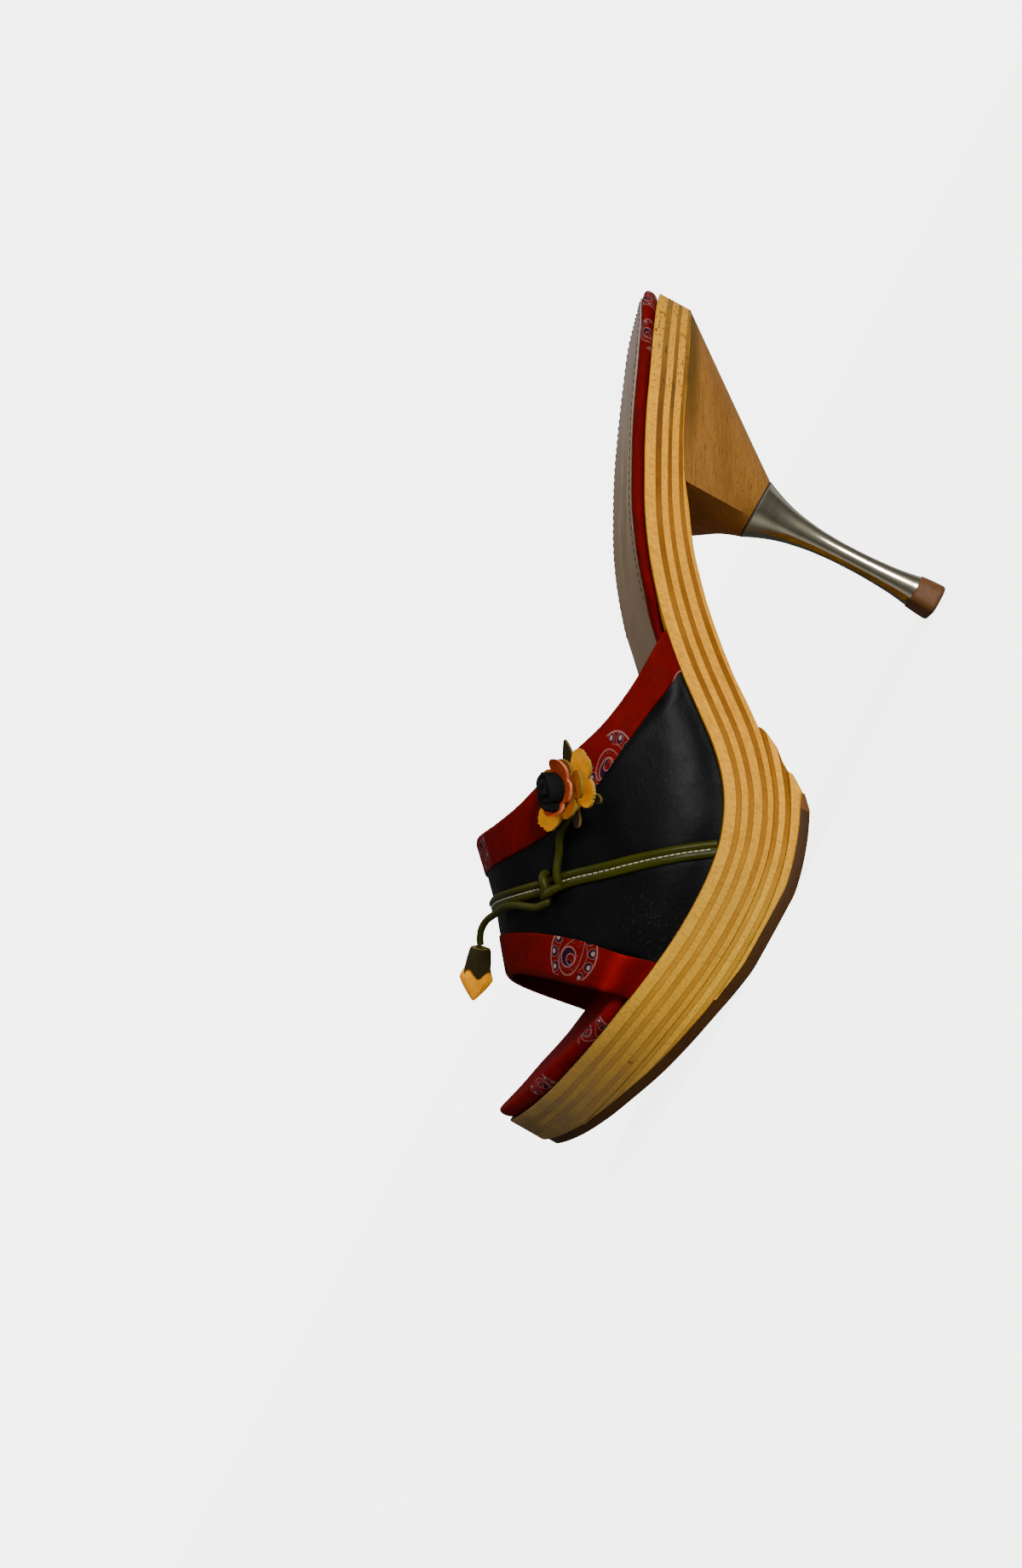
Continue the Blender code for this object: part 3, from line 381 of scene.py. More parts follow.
# ----- mesh making
class Body:
    """Gathers grids of points, then makes one named piece of the shoe."""

    def __init__(self, name: str) -> None:
        """Starts an empty piece of this name."""
        self.name = name
        self.points: list[Array] = []
        self.lays: list[Array] = []
        self.faces: list[tuple[int, ...]] = []
        self.marks: list[int] = []

    def _take(self, points: Array, lay: Array) -> int:
        """Stores points and what the finish reads there, and gives their first index."""
        start = sum(len(some) for some in self.points)
        self.points.append(points.reshape(-1, 3))
        self.lays.append(lay.reshape(-1, 3))
        return start

    def grid(self, points: Array, lay: Array | None = None, mark: int = 0, shut: bool = False) -> Body:
        """Adds a sheet of quads.

        Args:
            points: rows by columns by three.
            lay: three numbers a point for the finish, or the points themselves.
            mark: which of the piece's finishes the sheet takes.
            shut: the rows are rings, and the first and the last are closed by a face.

        Returns:
            The same piece.
        """
        rows, cols = points.shape[:2]
        lay = points if lay is None else lay
        index = self._take(points, lay) + np.arange(rows * cols).reshape(rows, cols)
        quads = np.stack([index[:-1, :-1], index[:-1, 1:], index[1:, 1:], index[1:, :-1]], -1)
        self.faces += map(tuple, quads.reshape(-1, 4).tolist())
        self.marks += [mark] * ((rows - 1) * (cols - 1))
        for end in (0, -1) if shut else ():
            self.fan(points[end], lay[end], mark)
        return self

    def fan(self, ring: Array, lay: Array | None = None, mark: int = 0) -> Body:
        """Closes a ring, its first point repeated at its end, with one face."""
        start = self._take(ring[:-1], (ring if lay is None else lay)[:-1])
        self.faces.append(tuple(range(start, start + len(ring) - 1)))
        self.marks.append(mark)
        return self

    def sleeve(self, outer: Array, inner: Array, lay: Array) -> Body:
        """Adds two sheets and closes the gap between them along their four edges."""
        self.grid(outer, lay).grid(inner, lay)
        for end in (0, -1):
            for cut in (np.s_[:, end], np.s_[end]):
                self.grid(np.stack([outer[cut], inner[cut]], 1), np.stack([lay[cut]] * 2, 1))
        return self

    def caps(self, rings: Array, lays: Array, column: int) -> Body:
        """Closes both ends of a board or a pad with sheets between its side edges.

        Args:
            rings: its rings of points: outer edge, one face, inner edge, other face.
            lays: what the finish reads at each of them.
            column: points on one side edge.

        Returns:
            The same piece.
        """
        inner = (rings.shape[1] - 1) // 2 - column
        t = np.linspace(0.0, 1.0, inner + 2)[None, :, None]
        for end in (0, -1):
            sheets = []
            for values in (rings[end], lays[end]):
                near = values[:column, None]
                far = values[column + inner:2 * column + inner][::-1, None]
                sheet = near * (1.0 - t) + far * t
                sheet[-1, 1:-1] = values[column:column + inner]
                sheet[0, 1:-1] = values[2 * column + inner:-1][::-1]
                sheets.append(sheet)
            self.grid(*sheets)
        return self

    def build(self, finishes: Sequence[Finish], slot: str, *nodes: str, sharp: float = 38.0,
              weld: float = 2e-6) -> Piece:
        """Makes the object in the scene and fixes it to the shoe.

        Args:
            finishes: the piece's finishes, in the order of the marks.
            slot: the record's material slot.
            nodes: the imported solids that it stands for.
            sharp: edges that turn by more degrees stay crisp.
            weld: points nearer than this many metres become one.

        Returns:
            The new object.
        """
        mesh = bpy.data.meshes.new(self.name)
        mesh.from_pydata(LAST.place(np.vstack(self.points)).tolist(), [], self.faces)
        corners = np.zeros(len(mesh.loops), dtype=np.int32)
        mesh.loops.foreach_get("vertex_index", corners)
        layer = mesh.attributes.new(LAY, "FLOAT_VECTOR", "CORNER")
        lay = np.vstack(self.lays)[corners]
        layer.data.foreach_set("vector", lay.astype(np.float32).ravel())
        mesh.polygons.foreach_set("material_index", self.marks)
        work = bmesh.new()
        work.from_mesh(mesh)
        bmesh.ops.remove_doubles(work, verts=work.verts, dist=weld)
        bmesh.ops.dissolve_degenerate(work, edges=work.edges, dist=1e-7)
        bmesh.ops.recalc_face_normals(work, faces=work.faces)
        if work.calc_volume(signed=True) < 0.0:
            bmesh.ops.reverse_faces(work, faces=work.faces)
        work.to_mesh(mesh)
        work.free()
        mesh.polygons.foreach_set("use_smooth", [True] * len(mesh.polygons))
        mesh.set_sharp_from_angle(angle=radians(sharp))
        return show(self.name, mesh, finishes, slot, nodes)


def show(name: str, data: bpy.types.ID, finishes: Sequence[Finish], slot: str,
         nodes: Sequence[str]) -> Piece:
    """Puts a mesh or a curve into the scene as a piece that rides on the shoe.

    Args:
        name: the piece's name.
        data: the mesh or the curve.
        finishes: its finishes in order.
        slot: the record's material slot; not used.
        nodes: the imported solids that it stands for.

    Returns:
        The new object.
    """
    for finish in finishes:
        data.materials.append(finish.make())
    piece = add_object(name, data)
    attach(piece, "root")
    if nodes:
        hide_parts(*nodes)
    count = sum(len(p.vertices) - 2 for p in data.polygons) if piece.type == "MESH" else 0
    LOG.info("%s: %d triangles", name, count)
    return piece


def add_object(name: str, data: bpy.types.ID) -> Piece:
    """A new object in the scene."""
    piece = bpy.data.objects.new(name, data)
    bpy.context.scene.collection.objects.link(piece)
    return piece


def tube(body: Body, path: Array, radius: Amount, around: int, hint: Sequence[float]) -> None:
    """Adds a round rod along a path, closed at both ends.

    Args:
        body: the piece that gets it.
        path: points of its middle line.
        radius: its radius, one number or one a point.
        around: points round it.
        hint: a direction that the path never follows.
    """
    run = unit(np.gradient(path, axis=0))
    side, other = square_to(run, hint)
    size = np.broadcast_to(radius, (len(path),))[:, None]
    turn = np.linspace(0.0, FULL_TURN, around + 1)
    ring = side[:, None] * np.cos(turn)[:, None] + other[:, None] * np.sin(turn)[:, None]
    lay = stack(travelled(path)[:, None], turn * size, 0.0)
    body.grid(path[:, None] + size[..., None] * ring, lay, shut=True)


def sew(body: Body, line: Array, out: Array, starts: Array, long: float, rises: Array,
        radius: float, around: int, hint: Sequence[float]) -> None:
    """Adds a row of short stitches along a line.

    Args:
        body: the piece that gets them.
        line: points of the seam.
        out: the direction out of the surface at each of them.
        starts: how far along the seam each stitch starts.
        long: length of a stitch.
        rises: how far it stands out, from its start to its end.
        radius: half of the thread.
        around: points round the thread.
        hint: a direction that the seam never follows.
    """
    far = travelled(line)
    for start in starts:
        t = np.linspace(start, start + long, len(rises))
        path, up = (np.stack([np.interp(t, far, rows[:, k]) for k in range(3)], -1)
                    for rows in (line, out))
        tube(body, path + up * rises[:, None], radius, around, hint)


def hoops(outer: Array, inner: Array, first: Surface | None, second: Surface | None,
          count: int) -> Array:
    """Closed rings round a board or a pad.

    Args:
        outer: points of the outer edge, stations by points by three.
        inner: the same of the inner edge.
        first: height of the face next to the edges' last points, None if straight.
        second: the same next to their first points.
        count: points from edge to edge.

    Returns:
        Rings of outer edge, first face, inner edge, second face and the start again.
    """
    inner = inner[:, ::-1]
    t = np.linspace(0.0, 1.0, count)[1:-1, None]
    rings = [outer]
    for a, z, height, after in ((outer[:, -1], inner[:, 0], first, inner),
                                (inner[:, -1], outer[:, 0], second, outer[:, :1])):
        sheet = a[:, None] * (1 - t) + z[:, None] * t
        if height:
            sheet[..., 2] = height(sheet[..., 0])
        rings += [sheet, after]
    return np.concatenate(rings, 1)


# ----- shader maths
Number = Union[float, "Wire"]


def paint(*screen: int) -> Colour:
    """Screen colour numbers from 0 to 255 as a linear colour."""
    shares = (value / 255.0 for value in screen)
    return tuple(v / 12.92 if v <= 0.04045 else ((v + 0.055) / 1.055) ** 2.4 for v in shares)


def operation(kind: str, swapped: bool = False) -> Callable[..., Wire]:
    """Makes a method of Wire that adds one Math node.

    Args:
        kind: what the node does.
        swapped: the wire is the node's second number.

    Returns:
        The method.
    """
    def method(self: Wire, *others: Number) -> Wire:
        """What the node gives."""
        return self.bench.math(kind, *((*others, self) if swapped else (self, *others)))

    return method


class Wire:
    """A value inside one material's nodes, with arithmetic for numbers."""

    def __init__(self, bench: Bench, socket: bpy.types.NodeSocket) -> None:
        """Wraps an output socket of that bench's nodes."""
        self.bench = bench
        self.socket = socket

    __add__ = __radd__ = operation("ADD")
    __sub__, __rsub__ = operation("SUBTRACT"), operation("SUBTRACT", True)
    __mul__ = __rmul__ = operation("MULTIPLY")
    __truediv__, __rtruediv__ = operation("DIVIDE"), operation("DIVIDE", True)
    __abs__ = operation("ABSOLUTE")
    low, high = operation("MINIMUM"), operation("MAXIMUM")
    sin, floor, fract = operation("SINE"), operation("FLOOR"), operation("FRACT")

    def above(self, edge: float, soft: float) -> Wire:
        """1 where the value is over the edge, with a soft step."""
        return self.bench.node("MapRange", {"interpolation_type": "SMOOTHSTEP"},
                               {"Value": self, "From Min": edge - soft, "From Max": edge + soft})

    def below(self, edge: float, soft: float) -> Wire:
        """1 where the value is under the edge, with a soft step."""
        return 1.0 - self.above(edge, soft)

    def near(self, spot: float, half: float, soft: float) -> Wire:
        """1 within half of a spot, with a soft step."""
        return abs(self - spot).below(half, soft)


class Bench:
    """Lays out the nodes of one material, or of the world."""

    COLOUR_A, COLOUR_B, COLOUR_OUT = 6, 7, 2  # sockets of a Mix node set to colours

    def __init__(self, owner: Material | bpy.types.World) -> None:
        """Opens the owner's node tree."""
        owner.use_nodes = True
        self.tree = owner.node_tree

    def plug(self, socket: bpy.types.NodeSocket, value: object) -> None:
        """Links a wire to a socket, or sets the socket's own value."""
        if isinstance(value, Wire):
            self.tree.links.new(value.socket, socket)
        elif socket.type == "RGBA":
            socket.default_value = (*value, 1.0)
        else:
            socket.default_value = value

    def node(self, kind: str, settings: dict[str, object] | None = None,
             inputs: dict[str | int, object] | None = None, out: str | int = 0) -> Wire:
        """Adds any node.

        Args:
            kind: the node's type without ShaderNode.
            settings: its own choices; stops is a ramp's list of place and grey.
            inputs: values or wires by socket.
            out: which of its outputs is wanted.

        Returns:
            The output.
        """
        made = self.tree.nodes.new("ShaderNode" + kind)
        for key, value in (settings or {}).items():
            if key == "stops":
                elements = made.color_ramp.elements
                while len(elements) < len(value):
                    elements.new(0.5)
                for element, (place, grey) in zip(elements, value):
                    element.position = place
                    element.color = (grey, grey, grey, 1.0)
            else:
                setattr(made, key, value)
        for key, value in (inputs or {}).items():
            self.plug(made.inputs[key], value)
        return Wire(self, made.outputs[out])

    def math(self, operation: str, *values: Number) -> Wire:
        """One Math node."""
        return self.node("Math", {"operation": operation}, dict(enumerate(values)))

    def lay(self) -> Wire:
        """What the mesh says at this point: three numbers."""
        return self.node("Attribute", {"attribute_name": LAY}, out="Vector")

    def split(self, vector: Wire) -> list[Wire]:
        """The three numbers of a vector."""
        made = self.node("SeparateXYZ", None, {0: vector})
        return [Wire(self, socket) for socket in made.socket.node.outputs]

    def join(self, x: Number, y: Number, z: Number) -> Wire:
        """A vector from three numbers."""
        return self.node("CombineXYZ", None, {0: x, 1: y, 2: z})

    def length(self, x: Wire, y: Wire) -> Wire:
        """Length of the slanting side over two numbers at right angles."""
        return self.math("SQRT", x * x + y * y)

    def noise(self, at: Wire, scale: float, detail: float = 3.0, rough_share: float = 0.5,
              stretch: Spot = (1.0, 1.0, 1.0), bend: float = 0.0) -> Wire:
        """Soft noise from 0 to 1.

        Args:
            at: where.
            scale: spots per unit.
            detail: layers of finer noise.
            rough_share: strength of the finer layers.
            stretch: factor for each axis.
            bend: how much it is bent.

        Returns:
            The noise.
        """
        spot = self.node("VectorMath", {"operation": "MULTIPLY"}, {0: at, 1: stretch})
        return self.node("TexNoise", None, {"Vector": spot, "Scale": scale, "Detail": detail,
                                            "Roughness": rough_share, "Distortion": bend})

    def cells(self, at: Wire, scale: float, feature: str = "F1") -> Wire:
        """Distance in a pattern of cells."""
        return self.node("TexVoronoi", {"feature": feature}, {"Vector": at, "Scale": scale}, "Distance")

    def mix(self, factor: Number, a: object, b: object) -> Wire:
        """Colour a turning into colour b."""
        return self.node("Mix", {"data_type": "RGBA"},
                         {0: factor, self.COLOUR_A: a, self.COLOUR_B: b}, self.COLOUR_OUT)

    def coats(self, base: object, *coats: tuple[Number, object]) -> Wire:
        """Colours laid over a base one after the other, each with its own share."""
        for share, colour in coats:
            base = self.mix(share, base, colour)
        return base

    def finish(self, base: object, rough_value: Number, gloss: float,
               height: Wire | None = None, deep: float = 0.05, **extra: object) -> None:
        """Connects the shader.

        Args:
            base: the colour.
            rough_value: the roughness.
            gloss: level of the plain reflection.
            height: relief for the bump, in millimetres over deep.
            deep: size of the relief in millimetres.
            extra: other sockets, a blank written as _.
        """
        sockets = {"Base Color": base, "Roughness": rough_value, "Specular IOR Level": gloss}
        if height is not None:
            sockets["Normal"] = self.node("Bump", None, {
                "Strength": 1.0, "Distance": deep / 1000.0, "Height": height})
        sockets.update({key.replace("_", " "): value for key, value in extra.items()})
        for key, value in sockets.items():
            self.plug(self.tree.nodes["Principled BSDF"].inputs[key], value)


# ----- finishes
@dataclass(frozen=True)
class Finish:
    """A named surface finish."""

    name: str

    @cache
    def make(self) -> Material:
        """The material, built when a piece first asks for it."""
        material = bpy.data.materials.new(self.name)
        self.dress(Bench(material))
        return material

    def dress(self, b: Bench) -> None:
        """Adds the nodes."""
        raise NotImplementedError


@dataclass(frozen=True)
class Plywood(Finish):
    """Beech plies in turn light and dark; lay is along, across and the ply's number."""

    light: Colour = paint(222, 150, 24)
    pale: Colour = paint(240, 169, 36)
    khaki: Colour = paint(190, 148, 46)
    dark: Colour = paint(122, 70, 12)
    glue: Colour = paint(80, 42, 8)
    # colour of the painted shade at the toe
    grey: Colour = paint(92, 80, 56)
    umber: Colour = paint(70, 52, 26)
    # colour of the painted shade at the heel end
    dirt_and_shade: Colour = paint(132, 106, 46)
    knot: Colour = paint(34, 20, 8)
    arch_end: float = 88.0
    toe_shade_at: float = 151.0  # middle of the soft step into the painted shade at the toe
    gap_at: tuple[float, float] = (71.6, 10.0)  # along and ply number of an open joint

    def dress(self, b: Bench) -> None:
        """Adds the nodes."""
        lay = b.lay()
        along, across, ply = b.split(lay)
        wavy = ply + (b.noise(lay, 0.05, 2.0, stretch=(1.0, 1.0, 0.0)) - 0.5) * 0.1
        number, inside = wavy.floor(), wavy.fract()
        own = b.join(along, across, number * 7.3)

        def grain(shift: float, detail: float, share: float, stretch: Spot, bend: float = 0.0) -> Wire:
            """Noise that differs from ply to ply."""
            at = b.join(along, across, ply * shift)
            return b.noise(at, 1.0, detail, share, stretch, bend)

        streak = grain(6.0, 4.0, 0.6, (0.035, 1.2, 1.6), 0.3)
        fine = grain(9.0, 3.0, 0.6, (0.16, 3.2, 3.4))
        pores = b.noise(own, 1.0, 3.0, 0.7, (0.9, 4.0, 1.0))
        # patchy noise that breaks up the painted shade at the toe and at the heel end
        shade_patches = b.noise(own, 0.11, 3.0, 0.6, (0.5, 1.0, 1.0))
        rear = along.below(self.arch_end, 22.0)
        light = b.coats(self.light, (streak.above(0.5, 0.28), self.pale),
                        (fine.below(0.38, 0.16) * 0.34, self.dark), ((1.0 - rear) * 0.75, self.khaki))
        cross = grain(2.0, 3.0, 0.65, (2.2, 2.2, 0.6))
        dark = b.coats(self.dark, (cross.above(0.5, 0.3), self.glue),
                       (along.below(14.0, 26.0) * 0.8, self.umber))
        blotch = b.noise(own, 0.06, 2.0).above(0.5, 0.25)
        dark = b.mix(0.26 + 0.24 * blotch + 0.5 * rear, light, dark)
        is_dark = (number * 0.5).fract().above(0.25, 0.01)
        tone = b.noise(b.join(number * 3.7, 0.0, 0.0), 1.0, 0.0)
        seam = inside.near(0.5, 0.46, 0.04)
        # painted shade: the wood turns grey-brown towards the toe, where it faces away from the light
        wear_and_shade = along.above(self.toe_shade_at, 25.0)
        gap = along.near(self.gap_at[0], 2.6, 1.2) * ply.near(self.gap_at[1], 0.1, 0.08)
        dashes = grain(2.0, 2.0, 0.75, (0.8, 1.0, 1.6)).below(0.38, 0.02)
        speckle = grain(2.6, 2.0, 0.7, (1.9, 1.9, 1.0)).below(0.46, 0.1)
        base = b.coats(
            light, (is_dark, dark), ((tone - 0.5) * 0.6 + 0.12, self.dark),
            (pores.below(0.36, 0.05) * 0.25, self.glue),
            ((1.0 - seam) * (0.45 + 0.5 * pores), self.glue),
            # painted shade at the toe, made patchy by noise
            (wear_and_shade * (0.55 + 0.6 * shade_patches), self.grey), (gap * 0.9, self.glue),
            (b.cells(own, 0.085).below(0.055, 0.02) * 0.7, self.glue),
            # painted shade: darker towards the heel end, made patchy by noise
            (along.below(-14.0, 14.0) * (0.12 + 0.6 * shade_patches), self.dirt_and_shade),
            (dashes * along.below(0.0, 12.0) * 0.85, self.knot), (speckle * 0.34, self.dark))
        height = fine * 0.5 + pores * 0.3 + seam * 0.35 - is_dark * 0.15
        b.finish(base, 0.46 + 0.14 * fine + 0.1 * wear_and_shade, 0.05, height, 0.09)


@dataclass(frozen=True)
class HeelWood(Finish):
    """One block of beech with short dark pores; lay is the place on the shoe."""

    body: Colour = paint(126, 84, 34)
    pale: Colour = paint(146, 100, 44)
    dark: Colour = paint(62, 34, 5)
    # colour of the darker band under the shell: dirt and painted shade
    dirt_and_shade: Colour = paint(74, 54, 18)
    breast: float = 14.2
    grain_slope: float = radians(29.0)
    seat_slope: float = 0.473  # the seat's underside is seat_height - seat_slope * along
    seat_height: float = 82.0

    def dress(self, b: Bench) -> None:
        """Adds the nodes."""
        along, across, height = b.split(b.lay())
        c, s = cos(self.grain_slope), sin(self.grain_slope)
        lay = b.join(along * c - height * s, across, along * s + height * c)
        wave = b.noise(lay, 1.0, 3.0, 0.5, (0.02, 0.16, 0.16), 0.5)
        streak = b.noise(lay, 1.0, 4.0, 0.65, (0.06, 1.7, 1.7))
        pores = b.noise(lay, 1.0, 2.0, 0.8, (0.3, 3.4, 3.4))
        depth = self.seat_height - (height + along * self.seat_slope)
        # darker band under the shell: dirt, and painted shade where the shell overhangs the block
        soil_and_shade = depth.below(2.4, 1.6) * along.below(2.0, 14.0) * (0.3 + 0.9 * streak)
        # the breast face: darker end grain, deepened with painted shade
        end = along.above(self.breast - 0.25, 0.1)
        grain = b.noise(lay, 1.0, 3.0, 0.7, (1.0, 0.5, 2.6))
        base = b.coats(self.body, (wave.above(0.5, 0.3), self.pale),
                       (streak.below(0.44, 0.2) * 0.36, self.dark),
                       (pores.below(0.37, 0.03) * 0.75, self.dark), (soil_and_shade, self.dirt_and_shade),
                       (end * (0.6 + 0.35 * grain), self.dark))
        b.finish(base, 0.44 + 0.14 * streak, 0.06, streak * 0.5 + pores * 0.5, 0.015)


@dataclass(frozen=True)
class Rubber(Finish):
    """Smooth dark sole rubber, worn in the middle of the tread; lay is the place."""

    side: Colour = paint(58, 34, 9)
    under: Colour = paint(30, 17, 8)
    cut: Colour = paint(110, 66, 24)
    scuff: Colour = paint(80, 62, 42)
    rear: float = 75.4

    def dress(self, b: Bench) -> None:
        """Adds the nodes."""
        lay = b.lay()
        cloud = b.noise(lay, 0.09, 4.0, 0.6)
        grit = b.noise(lay, 2.4, 4.0, 0.7)
        lines = b.noise(lay, 1.0, 3.0, 0.7, (0.08, 1.5, 1.5))
        facing = b.node("NewGeometry", out="Normal")
        down = b.split(facing)[2].below(-0.55, 0.2)
        rubbed = grit.above(0.62, 0.06) * 0.28 + lines.above(0.62, 0.06) * 0.16 * down
        base = b.coats(self.side, (down, self.under), (b.split(lay)[0].below(self.rear, 0.35), self.cut),
                       (cloud.above(0.56, 0.1) * 0.3, self.under), (rubbed, self.scuff))
        b.finish(base, 0.34 + 0.25 * grit + 0.12 * cloud, 0.1, grit * 0.6 + lines * 0.4)


@dataclass(frozen=True)
class TopPiece(Finish):
    """Tan rubber of the heel's top piece."""

    body: Colour = paint(94, 58, 24)
    dark: Colour = paint(54, 30, 11)

    def dress(self, b: Bench) -> None:
        """Adds the nodes."""
        lay = b.lay()
        cloud = b.noise(lay, 0.5, 4.0, 0.6)
        grit = b.noise(lay, 5.0, 3.0, 0.7)
        base = b.coats(self.body, (cloud.above(0.5, 0.25) * 0.4, self.dark),
                       (b.split(lay)[2].below(1.0, 0.9) * 0.45, self.dark))
        b.finish(base, 0.45 + 0.2 * grit, 0.2, grit)


@dataclass(frozen=True)
class Steel(Finish):
    """Turned and polished steel; lay is height, place round it and nothing."""

    bright: Colour = paint(160, 154, 132)
    dull: Colour = paint(110, 103, 84)
    joint: Colour = paint(20, 17, 12)
    collar: float = 55.3

    def dress(self, b: Bench) -> None:
        """Adds the nodes."""
        lay = b.lay()
        rings = b.noise(lay, 1.0, 3.0, 0.6, (5.0, 0.02, 0.0))
        smear = b.noise(lay, 0.25, 3.0, 0.6)
        joint = b.split(lay)[0].above(self.collar, 0.35)
        base = b.coats(self.bright, (smear.above(0.55, 0.2) * 0.4, self.dull), (joint, self.joint))
        b.finish(base, 0.15 + 0.05 * smear + 0.4 * joint, 0.5, rings, 0.0015, Metallic=1.0 - joint)


@dataclass(frozen=True)
class Motif:
    """Where one printed paisley lies on a band, in the band's own millimetres."""

    run: float
    rise: float
    radius: float
    spin: float  # degrees


@dataclass(frozen=True)
class PrintedCotton(Finish):
    """Red cotton with common bandana paisleys; lay is run, rise and a free number."""

    motifs: tuple[Motif, ...]
    sheen_run: float = -100.0  # where a painted highlight lies along the band, near its foot
    red: Colour = paint(98, 9, 7)
    deep: Colour = paint(62, 4, 4)
    navy: Colour = paint(13, 12, 30)
    white: Colour = paint(150, 118, 112)
    # colour of the painted highlight
    sheen_red: Colour = paint(150, 14, 9)
    thread_step: float = 0.42
    drops: int = 11
    drop_ring: float = 0.79  # radius of the ring of drops as a share of the motif's

    def dress(self, b: Bench) -> None:
        """Adds the nodes."""
        lay = b.lay()
        run, rise, _ = b.split(lay)
        soft = b.noise(lay, 0.22, 3.0, 0.6)
        wave = FULL_TURN / self.thread_step
        weave = (run * wave).sin() * (rise * wave).sin()
        base = b.coats(self.red, (soft.below(0.48, 0.25) * 0.55, self.deep),
                       (weave.below(-0.1, 0.8) * 0.22, self.deep))
        # painted highlight: a strip of brighter red near the band's foot
        if self.sheen_run > 0.0:
            base = b.mix(run.near(self.sheen_run, 1.2, 2.0) * (0.3 + 0.6 * soft), base, self.sheen_red)
        base = self._print(b, base, run, rise, soft)
        slub = b.noise(lay, 1.0, 3.0, 0.6, (2.2, 0.6, 1.0))
        b.finish(base, 0.55 + 0.12 * slub, 0.02, weave * 0.25 + slub * 0.75, 0.06)

    def _local(self, run: Wire, rise: Wire) -> tuple[Wire, Wire, Wire]:
        """Place inside the nearest motif, its radius being one, and 1 on a motif."""
        x = y = on = 0.0
        for motif in self.motifs:
            c = cos(radians(motif.spin)) / motif.radius
            s = sin(radians(motif.spin)) / motif.radius
            dx, dy = run - motif.run, rise - motif.rise
            u, v = dx * c + dy * s, dy * c - dx * s
            here = (u * u + v * v).below(1.21, 0.0001)
            x, y, on = x + u * here, y + v * here, on + here
        return x * 1.12, y * 0.96, on.low(1.0)

    def _print(self, b: Bench, base: Wire, run: Wire, rise: Wire, soft: Wire) -> Wire:
        """Lays the ring of drops and the curled drop over the cloth.

        Args:
            b: the bench.
            base: colour of the bare cloth.
            run: along the band.
            rise: across the band.
            soft: soft noise that thins the ink.

        Returns:
            The printed colour.
        """
        x, y, on = self._local(run, rise)
        far = b.length(x, y)
        side = abs(x).above(0.46, 0.05)
        ring = far.near(0.97, 0.02, 0.014).high(far.near(0.61, 0.012, 0.012) * 0.5) * side
        angle = b.math("ARCTAN2", y, x) * (self.drops / FULL_TURN)
        bead_x = ((angle + 100.5).fract() - 0.5) * (FULL_TURN * self.drop_ring / self.drops)
        bead_y = far - self.drop_ring
        spot = b.length(bead_x, bead_y)
        dot = b.length(bead_x, bead_y - 0.03).below(0.075, 0.018) * side
        rim = spot.near(0.165, 0.01, 0.01) * side
        leaf_y = y * 0.9 - x * 0.42 - 0.06
        away = b.length((x * 0.9 + y * 0.42) / (0.4 - leaf_y * 0.3), leaf_y * 1.449)
        curl_x, curl_y = (x - 0.09) * -1.5, (y + 0.13) * 1.5
        head = b.length(curl_x + 0.06, curl_y - 0.1)
        bite = b.length(curl_x - 0.1, curl_y - 0.02)
        tail = b.length(curl_x - 0.05, curl_y + 0.22)
        body = (head.below(0.42, 0.02) * bite.above(0.3, 0.02)).high(tail.below(0.17, 0.02))
        edge = head.near(0.47, 0.026, 0.02).high(
            bite.near(0.26, 0.02, 0.016) * head.below(0.43, 0.01))
        stipple = b.cells(b.join(x, y, 0.0), 15.0).below(0.24, 0.06) * away.below(0.93, 0.03)
        inked = (spot.below(0.145, 0.014) * side).high(body)
        base = b.mix(on * inked * 0.92, base, self.navy)
        pale = (ring * 0.75).high(dot).high(rim * 0.5).high(edge * 0.75)
        pale = pale.high(stipple * (1.0 - body) * 0.4).high(away.near(1.0, 0.03, 0.026) * 0.6)
        return b.mix(on * pale * (0.5 + 0.5 * soft), base, self.white)


@dataclass(frozen=True)
class Leather(Finish):
    """Smooth or grained leather; lay is in millimetres."""

    body: Colour = paint(7, 7, 8)
    high: Colour = paint(13, 13, 14)
    shine: float = 0.27
    grain: float = 1.1
    deep: float = 0.07
    gloss: float = 0.045
    dusty_along: float | None = None
    dust: Colour = paint(96, 94, 88)

    def dress(self, b: Bench) -> None:
        """Adds the nodes."""
        lay = b.lay()
        cloud = b.noise(lay, 0.07, 4.0, 0.6)
        pebble = b.cells(lay, self.grain, "SMOOTH_F1")
        fine = b.noise(lay, 2.2 * self.grain, 4.0, 0.65)
        base = b.coats(self.body, (cloud.above(0.5, 0.3), self.high),
                       (fine.below(0.4, 0.15) * 0.3, self.body))
        if self.dusty_along:
            along, round_arch, _ = b.split(lay)
            corner = along.near(self.dusty_along, 7.0, 7.0) * round_arch.below(15.0, 7.0)
            specks = b.cells(lay, 0.9).below(0.09, 0.05) * cloud.above(0.5, 0.06)
            film = b.noise(lay, 0.9, 5.0, 0.75).above(0.62, 0.08)
            base = b.mix((specks * 0.5 + film * 0.18) * (corner + 0.06), base, self.dust)
        b.finish(base, self.shine + 0.16 * fine + 0.1 * cloud, self.gloss,
                 pebble * 0.5 + fine * 0.5, self.deep)


